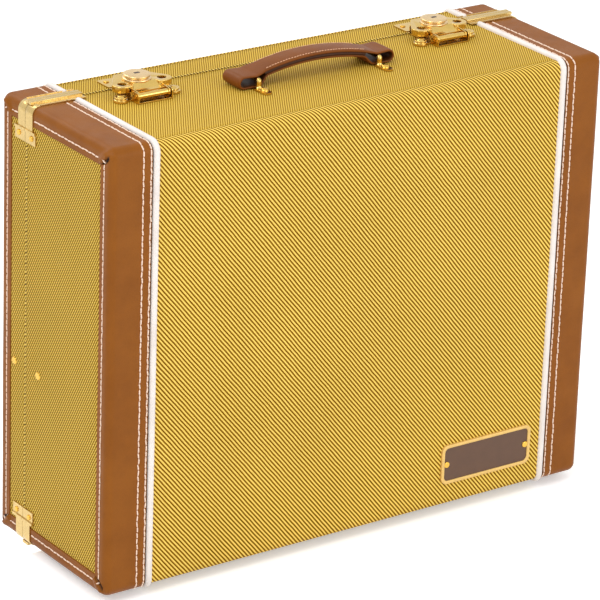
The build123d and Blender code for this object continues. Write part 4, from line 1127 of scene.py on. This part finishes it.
def make_posts():
    """The ends of the handle's bars and the rivets of their feet."""
    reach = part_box("handle_rivets")[1][0] - RIVET_IN
    posts = Heap()
    domes = Heap()
    for x in (-reach, reach):
        for side in (-1, 1):
            posts.lathe(POST_PROFILE, (x, side * POST_SPREAD, tweed_top), 24)
            domes.lathe(DOME_PROFILE, (x, side * RIVET_SPREAD, tweed_top), 28)
    add_piece("bracket_posts", posts.verts, posts.faces, "case_body", gold)
    add_piece("bracket_domes", domes.verts, domes.faces, "case_body", gold_fasteners)


BADGE_FRAME = (  # inset, depth behind the front and corner radius, in millimetres
    (0.0, 0.5, 6.6),
    (0.15, 0.15, 6.5),
    (0.5, 0.0, 6.1),
    (2.6, 0.0, 4.6),
    (3.0, 0.2, 4.3),
    (3.1, 1.4, 4.2),
)
BADGE_SIDE_GAP = 1.6 * MM
BADGE_FIELD_DEPTH = 1.0 * MM
BADGE_FIELD_INSET = 2.0 * MM
BADGE_FIELD_CORNER = 5.0 * MM


def make_badge():
    """The badge's raised border and its plain field."""
    low, high = corners_of("badge_frame")
    middle = (low + high) / 2
    half_x = (high[0] - low[0]) / 2 - BADGE_SIDE_GAP
    half_z = (high[2] - low[2]) / 2
    back, front = high[1], low[1]

    def ring(inset, y, radius):
        rounded = rounded_rectangle(half_x - inset, half_z - inset, radius)
        return [(middle[0] + x, y, middle[2] + z) for x, z in rounded]

    rows = [ring(0.0, back, BADGE_FRAME[0][2] * MM)]
    rows += [ring(inset * MM, front + depth * MM, radius * MM) for inset, depth, radius in BADGE_FRAME]
    heap = Heap()
    heap.grid(np.array(rows), close_columns=True)
    border = add_piece("badge_border", heap.verts, heap.faces, "case_body", badge_gold)
    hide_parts("badge_frame")
    level = front + BADGE_FIELD_DEPTH
    rows = [ring(BADGE_FIELD_INSET, y, BADGE_FIELD_CORNER) for y in (back, level)]
    for t in (0.2, 0.5, 0.8):
        corner = max(BADGE_FIELD_CORNER * (1 - t * 1.2), 0.4 * MM)
        rows.append(ring(BADGE_FIELD_INSET + half_z * t, level, corner))
    heap = Heap()
    heap.grid(np.array(rows), close_columns=True)
    heap.fan(rows[-1])
    field = add_piece(
        "badge_field", heap.verts, heap.faces, "case_body", badge_enamel, smooth=False
    )
    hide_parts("badge_plate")


# ---- softened edges on the metal
SOFT_NODES = ("latch_base", "latch_lever", "latch_claw", "strike_l", "strike_r", "seam_guards")
SOFT_EDGE = 0.25 * MM


def soften(node):
    """Rounds a CAD node's edges, as plating and polishing do."""
    modifiers = frame["nodes"][node].modifiers
    weld = modifiers.new("weld", "WELD")
    weld.merge_threshold = 0.002 * MM
    flat = modifiers.new("flat", "DECIMATE")
    flat.decimate_type = "DISSOLVE"
    flat.angle_limit = math.radians(1.0)
    bevel = modifiers.new("soft_edges", "BEVEL")
    bevel.width = SOFT_EDGE
    bevel.segments = 2
    bevel.limit_method = "ANGLE"
    bevel.angle_limit = math.radians(35)
    bevel.use_clamp_overlap = True
    bevel.harden_normals = False


# ---- floor, light and camera
FLOOR_GLOW = 0.35
FLOOR_REACH = 7.0
STEP_EDGE = 36.0 * MM  # the case stands at the edge of a step, so that its lid can swing down behind it
STEP_DROP = 0.30
SKY = ((0.04, (0.30,) * 3), (0.55, WHITE))  # grey over the height above the horizon
LAMP_AIM = Vector((0.0, 0.0, 0.2))
LAMPS = (  # name, place, size, watts
    ("key", (-1.7, -0.6, 1.9), 1.2, 18.0),
    ("fill", (0.9, -2.6, 1.1), 1.6, 22.0),
    ("rim", (-0.4, 1.7, 1.9), 0.9, 9.0),
)
CAMERA_EYE = (-1.84891, -2.5769, 1.47966)
CAMERA_TURNS = (35.646, 21.972, 2.021)  # yaw, pitch and roll in degrees
CAMERA_LENS = 231.48


def make_floor():
    """A pale floor with a step in it, clear from below."""
    mesh = bpy.data.meshes.new("studio_floor")
    lines = ((-FLOOR_REACH, 0.0), (STEP_EDGE, 0.0), (STEP_EDGE, -STEP_DROP), (FLOOR_REACH, -STEP_DROP))
    points = [(x, y, z) for y, z in lines for x in (-FLOOR_REACH, FLOOR_REACH)]
    mesh.from_pydata(points, [], [(k, k + 1, k + 3, k + 2) for k in (0, 2, 4)])
    floor = bpy.data.objects.new("studio_floor", mesh)
    bpy.context.scene.collection.objects.link(floor)
    n = Nodes("pale_floor")
    n.set(Base_Color=(0.9, 0.9, 0.9, 1.0), Roughness=0.9)
    plain = n.shader.outputs[0]
    glow = n.add("ShaderNodeEmission", {"Strength": FLOOR_GLOW}).outputs[0]
    lit = n.add("ShaderNodeAddShader", {0: plain, 1: glow}).outputs[0]
    above = n.add("ShaderNodeMixShader", {0: n.background_rays(), 1: plain, 2: lit}).outputs[0]
    under = n.add("ShaderNodeNewGeometry").outputs["Backfacing"]
    clear = n.add("ShaderNodeBsdfTransparent").outputs[0]
    surface = n.add("ShaderNodeMixShader", {0: under, 1: above, 2: clear}).outputs[0]
    n.put(n.tree.nodes["Material Output"].inputs["Surface"], surface)
    mesh.materials.append(n.material)


def make_light():
    """A soft sky, white where the background shows, and three large lamps."""
    world = bpy.data.worlds.new("studio")
    bpy.context.scene.world = world
    world.use_nodes = True
    n = Nodes("studio", world.node_tree)
    place = n.add("ShaderNodeTexCoord").outputs["Generated"]
    height = n.add("ShaderNodeSeparateXYZ", {0: place}).outputs["Z"]
    shown = n.mix(n.background_rays(), n.ramp(height, SKY), (*WHITE, 1.0))
    background = n.tree.nodes["Background"]
    n.put(background.inputs["Color"], shown)
    n.put(background.inputs["Strength"], 1.0)
    for name, place, size, power in LAMPS:
        data = bpy.data.lights.new(name, "AREA")
        data.energy = power
        data.size = size
        lamp = bpy.data.objects.new(name, data)
        lamp.location = place
        lamp.rotation_mode = "QUATERNION"
        lamp.rotation_quaternion = (LAMP_AIM - Vector(place)).to_track_quat("-Z", "Y")
        bpy.context.scene.collection.objects.link(lamp)
    bpy.context.scene.view_settings.view_transform = "Standard"


def make_camera():
    """The photograph's camera, from the case's edges in it."""
    yaw, pitch, roll = (math.radians(a) for a in CAMERA_TURNS)
    forward = Vector((math.sin(yaw) * math.cos(pitch), math.cos(yaw) * math.cos(pitch), -math.sin(pitch)))
    right = Vector((math.cos(yaw), -math.sin(yaw), 0.0))
    up = right.cross(forward)
    tilted_right = right * math.cos(roll) + up * math.sin(roll)
    tilted_up = up * math.cos(roll) - right * math.sin(roll)
    data = bpy.data.cameras.new("photo_camera")
    data.sensor_width = 36.0
    data.lens = CAMERA_LENS
    data.clip_start = 0.05
    data.clip_end = 50.0
    camera = bpy.data.objects.new("photo_camera", data)
    turn = Matrix((tilted_right, tilted_up, -forward)).transposed().to_4x4()
    camera.matrix_world = Matrix.Translation(Vector(CAMERA_EYE)) @ turn
    bpy.context.scene.collection.objects.link(camera)
    bpy.context.scene.camera = camera


# ---- CAD pieces that stay
def dress_cad():
    """Gives every CAD node the material of its slot."""
    materials = {
        "case_plywood": wood_material("plywood", srgb(214, 180, 130), srgb(176, 138, 92), 180.0),
        "rim_wood": wood_material("rim_wood", srgb(176, 128, 80), srgb(124, 82, 46), 260.0),
        "leather": leather,
        "piping": piping_white,
        "lining": plush,
        "badge_plate": badge_enamel,
        "spring_steel": plain_material("spring_steel", srgb(150, 150, 152), 0.3, 1.0),
        "brass": gold,
        "brass_fasteners": gold_fasteners,
        "tweed": tweed_side,
    }
    slots = {row["node"]: row["material_slot"] for row in frame["record"]["subparts"]}
    for node, cad in frame["nodes"].items():
        cad.data.materials.clear()
        cad.data.materials.append(guard_gold if node.startswith("seam_guards") else materials[slots[node]])


# ---- everything, in order
make_tweed()
for way, body, prefix in SHELLS:
    for side, word in ENDS:
        make_cap(side, way, word, prefix, body)
        make_stitches(side, way, word, prefix, body)
make_piping()
make_end_panels()
make_seam_edge()
tray("body_plush", "body_lining", -1, "case_body")
tray("lid_plush", "lid_lining", 1, "lid")
make_handle()
for _, word in ENDS:
    make_knob(word)
    make_ears(word)
make_posts()
make_badge()
for node in frame["nodes"]:
    if node.startswith(SOFT_NODES):
        soften(node)
make_floor()
make_light()
make_camera()
dress_cad()
